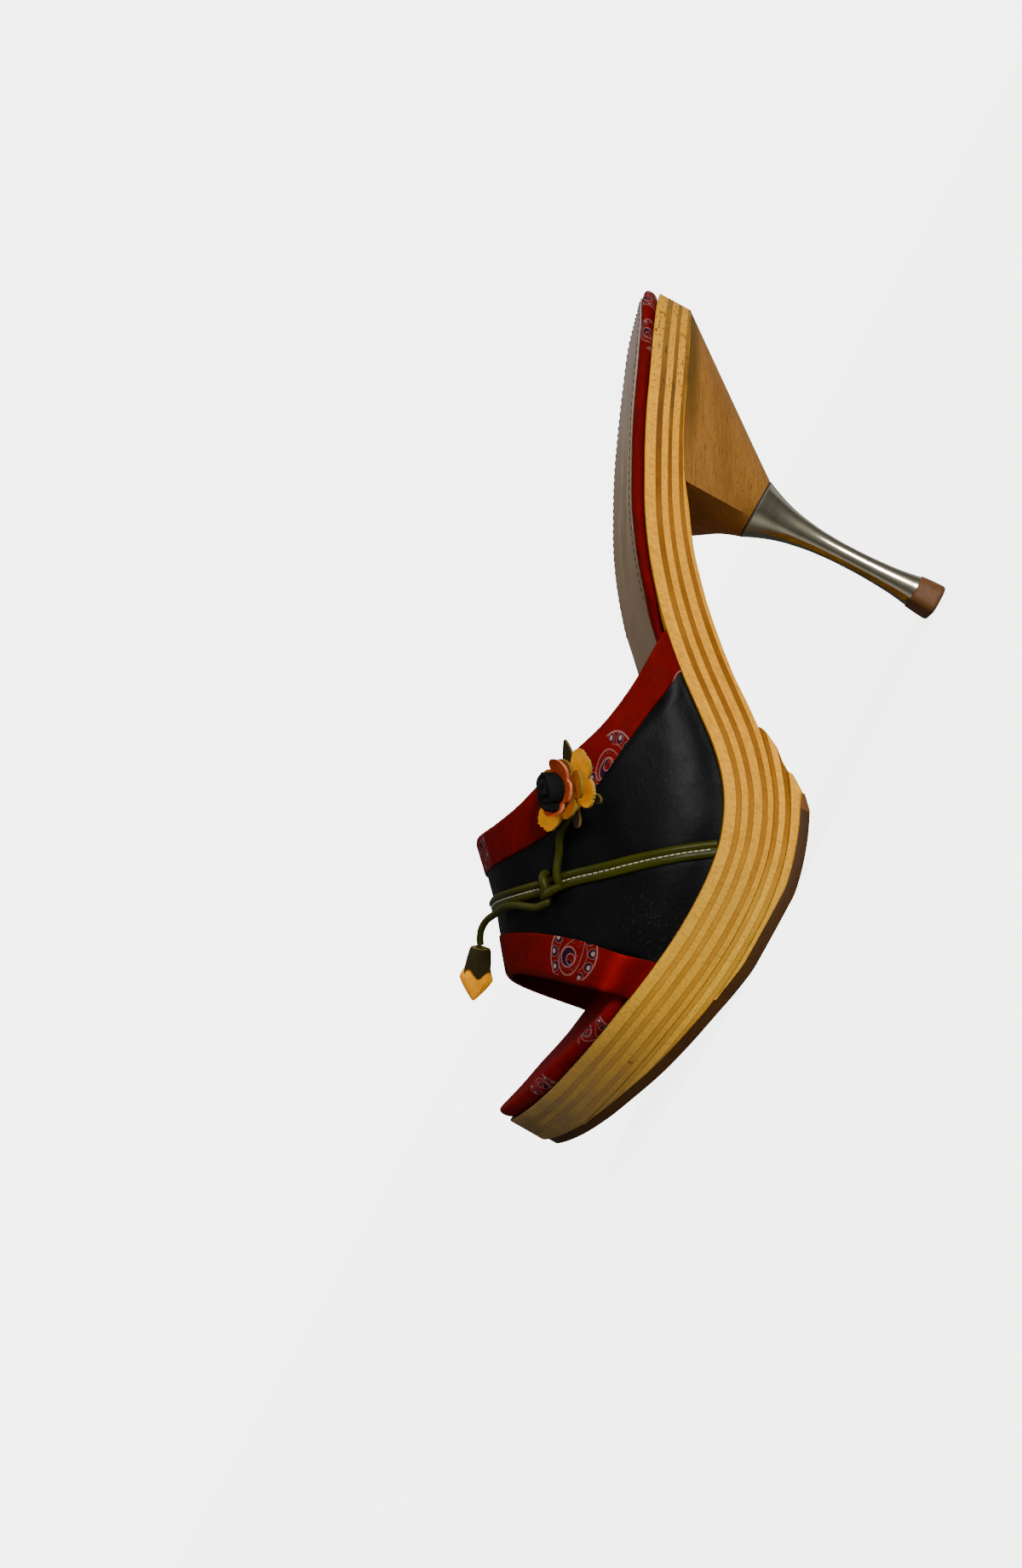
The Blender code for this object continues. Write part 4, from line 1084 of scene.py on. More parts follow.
@dataclass(frozen=True)
class Suede(Finish):
    """Dyed split leather of the petals, with a raw nap."""

    body: Colour
    shade: Colour

    def dress(self, b: Bench) -> None:
        """Adds the nodes."""
        lay = b.lay()
        cloud = b.noise(lay, 0.35, 3.0, 0.6)
        fibre = b.noise(lay, 3.5, 4.0, 0.75)
        base = b.coats(self.body, (cloud.below(0.5, 0.25) * 0.6, self.shade),
                       (fibre.below(0.42, 0.12) * 0.35, self.shade))
        b.finish(base, 0.75 + 0.15 * fibre, 0.1, fibre, 0.08)


@dataclass(frozen=True)
class Thread(Finish):
    """Twisted sewing thread; lay is run, place round it and nothing."""

    body: Colour = paint(160, 154, 132)
    shade: Colour = paint(96, 88, 64)

    def dress(self, b: Bench) -> None:
        """Adds the nodes."""
        run, turn, _ = b.split(b.lay())
        twist = ((run * 3.0 + turn * 2.0) * 4.0).sin()
        base = b.mix(twist.below(0.0, 0.7) * 0.35, self.body, self.shade)
        b.finish(base, 0.7, 0.1, twist, 0.03)


@dataclass(frozen=True)
class SockLining(Finish):
    """Grey sock leather, rubbed where the foot stood; lay is the place on the shoe."""

    body: Colour = paint(126, 103, 80)
    # lighter colour where the foot rubbed the sock
    wear_and_shade: Colour = paint(168, 152, 124)
    stain: Colour = paint(88, 78, 44)
    clean: Colour = paint(158, 140, 132)

    def dress(self, b: Bench) -> None:
        """Adds the nodes."""
        lay = b.lay()
        along, across, _ = b.split(lay)
        streak = b.noise(lay, 1.0, 4.0, 0.6, (0.03, 0.5, 0.0), 0.6)
        cloud = b.noise(lay, 0.06, 4.0, 0.6)
        fine = b.noise(lay, 2.5, 3.0, 0.7)
        rub = along.near(12.0, 22.0, 14.0) * across.near(4.0, 14.0, 8.0)
        base = b.coats(self.body, (along.below(0.0, 22.0) * 0.75, self.clean),
                       (rub * streak.above(0.55, 0.06), self.wear_and_shade),
                       (streak.below(0.42, 0.05) * 0.7 * rub, self.stain),
                       (cloud.below(0.42, 0.15) * 0.35, self.stain))
        b.finish(base, 0.5 + 0.2 * fine, 0.2, fine, 0.04)


@dataclass(frozen=True)
class StudioPaper(Finish):
    """Plain pale floor."""

    body: Colour = (0.82, 0.815, 0.8)
    shade: Colour = (0.6, 0.6, 0.6)
    glow: float = 5.2

    def dress(self, b: Bench) -> None:
        """Adds the nodes."""
        cloud = b.noise(b.node("TexCoord", out="Object"), 3.0, 2.0)
        b.finish(b.mix(cloud * 0.04, self.body, self.shade), 0.9, 0.0,
                 Emission_Color=self.body, Emission_Strength=self.glow)


BEECH_PLIES = Plywood("beech_plies")
GREEN = Leather("green_leather", paint(36, 38, 0), paint(50, 50, 2), 0.24, 1.6, 0.04, 0.085)
BLACK = Leather("black_leather", paint(10, 10, 10), paint(20, 20, 20), 0.5, 2.6, 0.16)
OLIVE = Suede("olive_leather", paint(40, 32, 9), paint(24, 19, 5))
YELLOW = Suede("yellow_leather", paint(234, 156, 3), paint(196, 112, 2))
ORANGE = Suede("orange_leather", paint(164, 92, 12), paint(128, 62, 7))
RUST = Suede("rust_leather", paint(178, 66, 12), paint(136, 42, 8))
OLIVE_CUT = Suede("olive_cut_edge", paint(98, 86, 38), paint(70, 56, 20))
YELLOW_CUT = Suede("yellow_cut_edge", paint(168, 132, 48), paint(124, 88, 22))
GREEN_CUT = Suede("green_cut_edge", paint(124, 108, 40), paint(80, 66, 18))
PINK_CUT = Suede("pink_cut_edge", paint(190, 116, 84), paint(158, 74, 38))


# ----- the wood
@dataclass
class BentwoodSole:
    """Bent plywood shell, the pad under the forefoot and the last thin ply."""

    bevel: float = 0.35
    tip: float = 0.001  # how near the shell's ends come to the outline's
    plies_front: Sequence[float] = (0, 3.1, 4.4, 6.2, 7.5, 9.8, 11.1, 12.7, 13.9, 15.6, 17, 18.6)
    plies_heel: Sequence[float] = (0, 2.9, 4.3, 6.1, 7, 8.9, 9.9, 9.95, 10, 10.05, 10.1, 10.15)
    heel_until: float = 8.0
    front_from: float = 60.0
    seat_end: float = 58.0  # from here to shell_from the underside blends
    shell_from: float = 62.5
    shell_last: int = 7  # number of the glue line under the shell
    pad_last: int = 10
    pad_slope: Track = Track(((62.1, 26.6), (62.7, 24.8), (67.2, 18.2), (69, 15.4)))
    ply_slope: Track = Track(((68.7, 14.5), (71.5, 10.4)))
    top_columns: int = 9

    def glue_line(self, number: int, along: Array) -> Array:
        """Height of a glue line at this place along."""
        at = np.arange(-40.0, 190.0, 0.5)
        slope = (LAST.top(at + 0.2) - LAST.top(at - 0.2)) / 0.4
        length = np.hypot(slope, 1.0)
        share = ease((at - self.heel_until) / (self.front_from - self.heel_until))
        depth = self.plies_heel[number] * (1 - share) + self.plies_front[number] * share
        return np.interp(along, at + depth * slope / length, LAST.top(at) - depth / length)

    def shell_low(self, x: Array) -> Array:
        """Underside of the shell."""
        t = np.clip((x - self.seat_end) / (self.shell_from - self.seat_end), 0.0, 1.0)
        deep = self.glue_line(self.shell_last, np.maximum(x, self.shell_from))
        blend = LAST.seat_under(np.minimum(x, self.seat_end)) * (1 - t) + deep * t
        return np.where(x < self.shell_from, blend, np.maximum(deep, LAST.wood_bottom(x)))

    def pad_low(self, x: Array) -> Array:
        """Underside of the pad, its rear end cut to a long slope."""
        flat = np.maximum(self.glue_line(self.pad_last, x), LAST.wood_bottom(x))
        return np.where(x < self.pad_slope.xs[-1], self.pad_slope(x), flat)

    def ply_low(self, x: Array) -> Array:
        """Underside of the thin ply."""
        return np.where(x < self.ply_slope.xs[-1], self.ply_slope(x), LAST.wood_bottom(x))

    def _board(self, name: str, node: str, alongs: Sequence[Array], first: int, last: int,
               lower: Surface) -> None:
        """One piece of board with rounded edges.

        Args:
            name: the piece's name.
            node: the solid that it stands for.
            alongs: its stations, in stretches.
            first: glue line at its top.
            last: glue line at its bottom.
            lower: height of its underside.
        """
        alongs = np.concatenate(alongs)
        edges = bevel_steps(self.bevel)
        lines = range(first, last + 1)

        def upper(x: Array) -> Array:
            """Height of its top."""
            return self.glue_line(first, x) if first else LAST.top(x)

        def edge(side: int) -> Array:
            """Points of one side edge, from the top down."""
            x, y = LAST.edge_point(side, alongs, 0.0)
            low, high = lower(x) + self.bevel, upper(x) - self.bevel
            points = [stack(x, y, np.clip(self.glue_line(k, x), low, high)) for k in lines[1:-1]]
            for inset, drop in reversed(edges):
                x, y = LAST.edge_point(side, alongs, inset)
                points.insert(0, stack(x, y, upper(x) - drop))
                points.append(stack(x, y, lower(x) + drop))
            return np.stack(points, 1)

        rings = hoops(edge(1), edge(-1), lower, upper, self.top_columns)
        heights = np.stack([self.glue_line(k, alongs) for k in lines], 1)
        plies = np.stack([np.interp(-ring[:, 2], -height, lines)
                          for ring, height in zip(rings, heights)])
        lays = stack(rings[..., 0], rings[..., 1], np.clip(plies, first + 0.03, last - 0.03))
        body = Body(name).grid(rings, lays)
        body.caps(rings, lays, 2 * len(edges) + len(lines) - 2)
        body.build([BEECH_PLIES], "light_wood", node)

    def build(self) -> None:
        """Makes the three pieces of board."""
        self._board("shell_plies", "sole_shell", (
            spread(LAST.heel + self.tip, 57.9, 96, tight_first=True), spread(58.1, 172.0, 100),
            spread(173.0, LAST.toe - self.tip, 34, tight_last=True)),
            0, self.shell_last, self.shell_low)
        self._board("pad_plies", "platform_pad", (
            (62.1, 62.4, 62.7, 64.5, 67.2, 68.9, 69.1), spread(71.0, 171.4, 96)),
            self.shell_last, self.pad_last, self.pad_low)
        self._board("lowest_ply", "platform_ply", (
            (68.7, 70.0, 71.4, 71.6), spread(73.4, 128.4, 60)),
            self.pad_last, self.pad_last + 1, self.ply_low)


@dataclass
class RubberOutsole:
    """Rubber outsole with a flat tread and a sloped rear edge."""

    inset: float = 0.5
    bevel: float = 0.45
    rear_slope: Track = Track(((71.6, 9.4), (74.8, 6.4)))
    rubber: Finish = Rubber("brown_rubber")

    def build(self) -> None:
        """Makes the outsole."""
        alongs = np.concatenate([(71.6, 72.4, 73.6, 74.7, 74.9), spread(76.0, 96.8, 20),
                                 (97, 101, 106, 111, 116), spread(117.0, 179.9, 70, tight_last=True)])

        def edge(side: int) -> Array:
            """Points of one side edge, from the top down."""
            x, y = LAST.edge_point(side, alongs, self.inset)
            high = LAST.wood_bottom(x) + 0.03
            points = [stack(x, y, high)]
            for rise, extra in bevel_steps(self.bevel):
                x, y = LAST.edge_point(side, alongs, self.inset + extra)
                base = np.where(x < LAST.tread_start, self.rear_slope(x), LAST.tread(x))
                points.append(stack(x, y, np.minimum(base + rise, high)))
            return np.stack(points, 1)

        rings = hoops(edge(1), edge(-1), None, None, 10)
        Body("rubber_outsole").grid(rings, shut=True).build(
            [self.rubber], "brown_rubber", "outsole", sharp=30.0)


@dataclass
class SteelHeel:
    """Wooden heel block, turned steel stem and rubber top piece."""

    breast: float = 14.2
    block_steps: int = 60
    stem_top: float = 56.0
    stem_top_radius: float = 8.55
    stem_lean: float = radians(1.4)
    stem_foot: float = 1.9
    chord: float = radians(54.0)
    tip_half: float = 5.1
    tip_corner: float = 2.1
    tip_middle: float = 1.8
    tip_nose: float = 4.9
    stem: Track = Track((  # height, radius
        (7.7, 4.3), (10, 3.95), (13, 3.55), (17, 3.22), (21, 3), (25, 2.9),
        (29, 2.9), (33, 3.05), (37, 3.35), (41, 3.9), (45, 4.65), (49, 5.8), (52.5, 7.1), (55.7, 8.5)))
    tip: Rows = (  # height, how much fuller than tip_half
        (0, -0.95), (0.12, -0.6), (0.4, -0.38), (0.9, -0.28), (1.6, -0.28), (3.4, -0.38),
        (5.4, -0.52), (6.7, -0.66), (7.15, -0.76), (7.33, -0.9), (7.4, -1.2))
    wood: Finish = HeelWood("heel_beech")
    steel: Finish = Steel("polished_steel")
    rubber: Finish = TopPiece("tan_rubber")

    def _block(self) -> None:
        """Ruled wedge from the D-shaped seat to the round of the steel."""
        sides = spread(LAST.heel + 1.2, self.breast, self.block_steps, tight_first=True)

        def edge(side: Rim, amount: float) -> Array:
            """One side of the seat, moved in from the outline by that much."""
            mid = LAST.middle(sides)
            reach = side(sides) - mid
            across = mid + np.sign(reach) * np.maximum(np.abs(reach) - amount, 0.05)
            return stack(sides, across, LAST.seat_under(sides))

        outer, inner = edge(LAST.outer, 0.8), edge(LAST.inner, 2.2)[::-1]
        t = np.linspace(0.0, 1.0, 14)[1:-1, None]
        top = np.vstack([outer, outer[-1] * (1 - t) + inner[0] * t, inner, outer[:1]])
        bend = np.linspace(pi, self.chord, self.block_steps)
        angle = np.concatenate([bend, self.chord * (1 - 2 * t[:, 0]), -bend[::-1], bend[:1]])
        centre = self.stem_foot + tan(self.stem_lean) * self.stem_top
        low = stack(centre + self.stem_top_radius * np.cos(angle),
                    self.stem_top_radius * np.sin(angle), self.stem_top)
        share = np.linspace(0.0, 1.0, 26)[:, None, None]
        body = Body("heel_wedge").grid(low * (1 - share) + top * share).fan(low)
        body.build([self.wood], "heel_wood", "heel_block", sharp=24.0)

    def _stem(self) -> None:
        """Turned stem, leaning a little towards the toe."""
        heights = np.append(np.linspace(7.3, 55.85, 90), 56.05)[:, None]
        sizes = self.stem(heights)
        sizes[-1] -= 0.15
        turn = np.linspace(0.0, FULL_TURN, 97)
        lean = self.stem_foot + tan(self.stem_lean) * heights
        grid = stack(lean + sizes * np.cos(turn), sizes * np.sin(turn), heights)
        body = Body("steel_stem").grid(grid, stack(heights, turn * 4.0, 0.0), shut=True)
        body.build([self.steel], "polished_steel", "heel_stem", sharp=50.0)

    def _tip(self) -> None:
        """Top piece: round at the back, flat at the front."""
        back = np.linspace(0.5 * pi, 1.5 * pi, 49)
        rings = []
        for height, grow in self.tip:
            half = self.tip_half + grow
            ring = [stack(self.tip_middle + half * np.cos(back), half * np.sin(back), height)]
            bend = self.tip_corner
            for side in (-1, 1):
                angle = np.linspace(0.0, 0.5 * pi, 9) + 0.25 * pi * (side - 1)
                nose = self.tip_middle + self.tip_nose + grow - bend
                ring.append(stack(nose + bend * np.cos(angle),
                                  side * (half - bend) + bend * np.sin(angle), height))
            rings.append(np.vstack([*ring, ring[0][:1]]))
        body = Body("top_piece").grid(np.stack(rings), shut=True)
        body.build([self.rubber], "tan_rubber", "heel_tip", sharp=45.0)

    def build(self) -> None:
        """Makes the three pieces of the heel."""
        self._block()
        self._stem()
        self._tip()


# ----- the footbed
@dataclass
class Footbed:
    """Padded footbed: printed cotton round its edge, grey sock on its top."""

    thick: float = 3.4
    toe_puff: float = 1.3
    heel_puff: float = 0.8
    crown: float = 1.018  # height of its top as a share of the thickness
    edge: float = 0.5
    tuck: float = 3.15
    across_columns: int = 15
    sock_inset: float = 2.9
    sock_toe: float = 118.0
    sock_columns: int = 19
    motifs: Rows = (  # along, rise, radius, spin
        (-36, 2, 4.6, 100), (-29, 3.4, 4.8, 20), (-17, 1.4, 4.6, 120),
        (150.5, 3.4, 5.4, 60), (168.5, 2.6, 4.6, 200))
    sock: Finish = SockLining("grey_sock")
    thread: Finish = Thread("grey_thread", paint(64, 54, 48))

    def set_back(self, along: Array) -> Array:
        """How far its edge lies inside the outline."""
        rise = np.minimum((along - 44.0) / 7.0, (148.0 - along) / 7.0)
        return self.edge + (self.tuck - self.edge) * ease(rise)

    def depth(self, along: Array) -> Array:
        """Thickness, a little fuller towards the toe and at the heel."""
        return (self.thick + self.toe_puff * ease((along - 148.0) / 20.0)
                + self.heel_puff * ease((-18.0 - along) / 14.0))

    def bed(self, along: Array) -> Array:
        """Height of the footbed's flat top."""
        return LAST.top(along) - 0.05 + self.crown * self.depth(along)

    def run_of(self, side: int, along: float) -> float:
        """Length round the footbed's edge, from the heel, for the print."""
        x, y = LAST.edge_point(side, np.linspace(LAST.heel, along, 200), self.edge)
        return side * travelled(stack(x, y, LAST.top(x)))[-1]

    def _cushion(self) -> None:
        """The padded bed in its printed cotton."""
        alongs = np.concatenate([spread(LAST.heel + 0.001, 42.0, 70, tight_first=True),
                                 spread(43.0, 141.0, 80),
                                 spread(142.0, LAST.toe - 0.001, 60, tight_last=True)])
        turn = np.linspace(-0.5 * pi, 0.5 * pi, 11)
        inset = np.append(1.5 * (1.0 - np.cos(turn)) + 0.175 * (1.0 - np.sin(turn)), 3.2)
        share = np.append(0.5 + 0.5 * np.sin(turn), self.crown)
        deep = self.depth(alongs)[:, None]

        def edge(side: int) -> Array:
            """Points of one side edge, from the wood up."""
            back = self.set_back(alongs)[:, None]
            x, y = LAST.edge_point(side, alongs[:, None], back + inset)
            return stack(x, y, LAST.top(x) - 0.04 + share * deep)

        def edge_lay(side: int) -> Array:
            """Run and rise of that edge for the print."""
            run = np.array([self.run_of(side, along) for along in alongs])[:, None]
            return stack(run, share * deep + 0.8 * inset, 0.0)

        rings = hoops(edge(1), edge(-1), lambda x: LAST.top(x) - 0.04 + self.crown * deep,
                      None, self.across_columns)
        rows, inside = len(inset), self.across_columns - 2
        top = rings[:, rows:rows + inside, :2] + 400.0  # far from every motif
        under = np.broadcast_to((0.0, -20.0, 0.0), (len(alongs), inside + 1, 3))
        lays = np.concatenate([edge_lay(1), stack(top[..., 0], top[..., 1], 0.0),
                               edge_lay(-1)[:, ::-1], under], 1)
        cotton = PrintedCotton("footbed_cotton", tuple(
            Motif(self.run_of(1, along), rise, radius, spin)
            for along, rise, radius, spin in self.motifs))
        Body("footbed_cotton").grid(rings, lays).caps(rings, lays, rows).build(
            [cotton], "red_printed_fabric", "insole", sharp=60.0)

    def _sock(self) -> None:
        """Thin grey sock with a gently waved edge."""
        alongs = np.concatenate([spread(LAST.heel + 0.01, 42.0, 100, tight_first=True),
                                 spread(42.6, self.sock_toe, 70)])[:, None]

        def edge(side: int) -> Array:
            """Points of one side edge, from the bed up."""
            back = self.set_back(alongs) + self.sock_inset + 0.12 * np.sin(alongs * 2.6)
            x, y = LAST.edge_point(side, alongs, back + (0.0, 0.0, 0.2))
            return stack(x, y, self.bed(x) + (0.0, 0.35, 0.5))

        t = np.linspace(0.0, 1.0, self.sock_columns)[1:-1]
        dish = 0.21 * np.sin(pi * t) ** 2
        rings = hoops(edge(1), edge(-1), lambda x: self.bed(x) + 0.5 - dish, None, self.sock_columns)
        Body("footbed_sock").grid(rings[:, :len(t) + 6]).build(
            [self.sock], "red_printed_fabric", sharp=60.0)

    def _stitches(self) -> None:
        """Two rows of stitches just inside the sock's edge."""
        body = Body("sock_stitches")
        up = np.array((0.0, 0.0, 1.0))
        spots = spread(LAST.heel + 0.005, 47.0, 110, tight_first=True)
        for side in (1, -1):
            x, y = LAST.edge_point(side, spots, self.edge + self.sock_inset + 1.2)
            line = stack(x, y, self.bed(x) + 0.5)
            starts = np.arange(0.5, travelled(line)[-1] - 2.0, 2.1)
            sew(body, line, np.broadcast_to(up, line.shape), starts, 1.45,
                np.array((-0.15, 0.06, 0.1, 0.06, -0.15)), 0.16, 8, up)
        body.build([self.thread], "red_printed_fabric", sharp=80.0)

    def build(self) -> None:
        """Makes the printed edge, the sock and its rows of stitches."""
        self._cushion()
        self._sock()
        self._stitches()


# ----- the upper
STRAP_LINE = Track((  # turn, along of the strap's middle
    (0, 95.4), (6.3, 100.7), (12.9, 106.3), (22.3, 113.4), (32.4, 119), (40, 122.6),
    (48, 125.2), (57, 127.4), (78, 130.2), (90, 130.8), (105, 129.4),
    (125, 124.8), (150, 112.8), (170, 102.4), (180, 97.6)))


def foot_relief(turn: Array) -> Array:
    """Fullness of the upper just above the wood, and the pull inwards under it."""
    foot = np.minimum(turn, 180.0 - turn)
    return 0.7 * np.exp(-((foot - 9.0) / 6.0) ** 2) - 0.6 * np.exp(-(foot / 3.5) ** 2)


class Band(Enum):
    """The two bands of cotton, by the way along that their folds face."""

    REAR = -1.0
    FRONT = 1.0


@dataclass
class Vamp:
    """Leather vamp between a rear and a front band of printed cotton."""

    wall: float = 1.8
    band_lift: float = 0.6
    columns: int = 70
    hem: float = 8.5
    overlap: float = 1.2  # of the leather under the bands
    rear_motifs: Rows = (  # along, turn, radius, spin
        (88, 24, 7.4, 30), (119, 80, 6.2, 200), (62, 2, 6.5, 80), (100, 140, 7.4, 150))
    front_motifs: Rows = ((136.6, 28, 7.3, 0), (141, 110, 7.3, 140))
    creases: Rows = (  # along and turn of both ends, depth, half width
        (92, 150, 112, 118, 0.55, 2.2), (104, 160, 124, 132, 0.45, 2), (98, 30, 120, 16, 0.16, 2.4))
    leather: Finish = Leather("dark_leather", dusty_along=120.0)
    lining: Finish = Leather("lining_leather", paint(24, 20, 18), paint(36, 30, 27), 0.6)

    def __post_init__(self) -> None:
        """Finds the four lines across the upper at every turn."""
        self.turn = np.linspace(0.0, 180.0, 181)
        self.rear, low = (np.array([LAST.crossing(t, line) for t in self.turn])
                          for line in (Track(LAST.topline, 1), Track(LAST.topline, 2)))
        self.band = np.maximum(low, self.rear + 4.0)
        self.fore = Track(LAST.front, 1)(self.turn)
        self.edge = Track(LAST.front, 2)(self.turn)

    def run_along(self, line: Amount) -> Array:
        """Length along a line round the arch, from the outer side."""
        return travelled(LAST.arch(line, self.turn))

    def motif(self, band: Band, along: float, turn: float, radius: float, spin: float) -> Motif:
        """A paisley at a place on one of the bands.

        Args:
            band: which band.
            along: where along.
            turn: where round the arch.
            radius: its size.
            spin: its turn in degrees.

        Returns:
            The motif in the band's own millimetres.
        """
        line = self.rear if band is Band.REAR else self.edge
        start = float(np.interp(turn, self.turn, line))
        rise = travelled(LAST.arch(np.linspace(start, along, 30), turn))[-1]
        run = float(np.interp(turn, self.turn, self.run_along(line)))
        return Motif(run, copysign(rise, (start - along) * band.value), radius, spin)

    def _seat(self, points: Array) -> Array:
        """Lets both feet of a sheet reach the wood."""
        for row in (0, -1):
            points[row, :, 2] = LAST.top(points[row, :, 0]) + 0.02
        return points

    def relief(self, along: Array, turn: Array) -> Array:
        """Soft troughs and fullness of the leather, in millimetres out of its face."""
        points = LAST.arch(along, turn)
        made = foot_relief(turn) - 0.28 * np.exp(-((along - STRAP_LINE(turn)) / 2.4) ** 2)
        for height, size, seed in ((0.16, 17.0, 3.1), (0.08, 5.0, 7.7), (0.05, 2.6, 5.2)):
            made = made + height * rough(points, size, seed)
        for first, low, last, high, depth, half in self.creases:
            ahead, up = last - first, high - low
            share = ((along - first) * ahead + (turn - low) * up) / (ahead ** 2 + up ** 2)
            off = np.hypot(along - first - share * ahead, (turn - low - share * up) * 0.7)
            ends = ease(np.minimum(share, 1.0 - share) * 4.0)
            made -= depth * ends * (np.exp(-(off / half) ** 2)
                                    - 0.45 * np.exp(-((off - 2.0 * half) / half) ** 2))
        return made

    def _leather(self) -> None:
        """Outer leather with its relief, and the lining under it."""
        turn = self.turn[:, None]
        band, fore = self.band[:, None], self.fore[:, None]
        start, end = band - self.overlap, fore + self.overlap
        along = start + (end - start) * np.linspace(0.0, 1.0, self.columns)
        tuck = ease(np.minimum(along - band, fore - along) / 1.6)
        lift = self.relief(along, turn) * tuck - 0.12 * (1.0 - tuck)
        outer = LAST.over(along, turn, lift)
        arc = np.interp(turn, self.turn, self.run_along(110.0))
        lay = stack(along, arc, 0.0)
        inner, close, inside = (self._seat(LAST.arch(along, turn, -deep))
                                for deep in (0.9, 0.95, self.wall))
        Body("vamp_leather").sleeve(self._seat(outer), inner, lay).build(
            [self.leather], "dark_leather", "upper", sharp=60.0)
        Body("vamp_lining").sleeve(inside, close, lay).build(
            [self.lining], "dark_leather", sharp=60.0)

    def _band(self, name: str, band: Band, cotton: PrintedCotton) -> None:
        """A strip of cotton folded over an edge of the upper.

        Args:
            name: the piece's name.
            band: which band.
            cotton: its finish.
        """
        line, joint = (self.rear, self.band) if band is Band.REAR else (self.edge, self.fore)
        wide = np.abs(joint - line)
        run = self.run_along(line)
        middle = 0.5 * (self.band_lift - self.wall - 0.25)
        fold = 0.5 * (self.band_lift + self.wall + 0.25)
        columns: list[tuple[Amount, float, Amount]] = [  # back from the fold, lift, rise
            (wide - 0.05, 0.02, wide + 0.6), (wide + 0.02, 0.3, wide + 0.3),
            (wide, self.band_lift - 0.16, wide)]
        for share in (0.985, 0.94, 0.86, 0.74, 0.6, 0.46, 0.33, 0.22, 0.14):
            puff = 0.1 * sin(pi * share) ** 0.7
            columns.append((wide * share, self.band_lift + puff - 0.04, wide * share))
        for angle in np.linspace(0.5 * pi, -0.5 * pi, 13)[1:-1]:
            back = fold * (1.0 - cos(angle))
            columns.append((back, middle + fold * sin(angle), back - 1.5))
        for back in np.linspace(fold + 0.3, self.hem, 9):
            columns.append((back, middle - fold, -back - 3.0))
        columns.append((self.hem + 0.1, 0.1 - self.wall, -self.hem))
        points, lays = [], []
        for back, lift, rise in columns:
            wrinkle = 0.05 * np.sin(run * 1.9 + 0.4 * back) * np.sin(run * 0.37 + back)
            points.append(LAST.arch(line - band.value * back, self.turn, lift + wrinkle))
            lays.append(stack(run, rise, 0.0))
        grid = self._seat(np.stack(points, 1))
        outside = np.clip(np.array([lift for _, lift, _ in columns]) + 0.5, 0.0, 1.0)
        lumps = 0.07 * rough(grid, 6.0, 11.0) + outside * 1.3 * foot_relief(self.turn)[:, None]
        out = LAST.out_of_face(grid[1:-1, :, 0], self.turn[1:-1, None])
        grid[1:-1] += out * lumps[1:-1, :, None]
        Body(name).grid(grid, np.stack(lays, 1)).build([cotton], "red_printed_fabric", sharp=70.0)

    def build(self) -> None:
        """Makes the leather, the lining and both bands."""
        self._leather()
        rear = tuple(self.motif(Band.REAR, *spot) for spot in self.rear_motifs)
        front = tuple(self.motif(Band.FRONT, *spot) for spot in self.front_motifs)
        self._band("rear_cotton_band", Band.REAR, PrintedCotton("rear_cotton", rear))
        # the front band has its painted highlight at run 6.5
        self._band("front_cotton_band", Band.FRONT, PrintedCotton("front_cotton", front, 6.5))


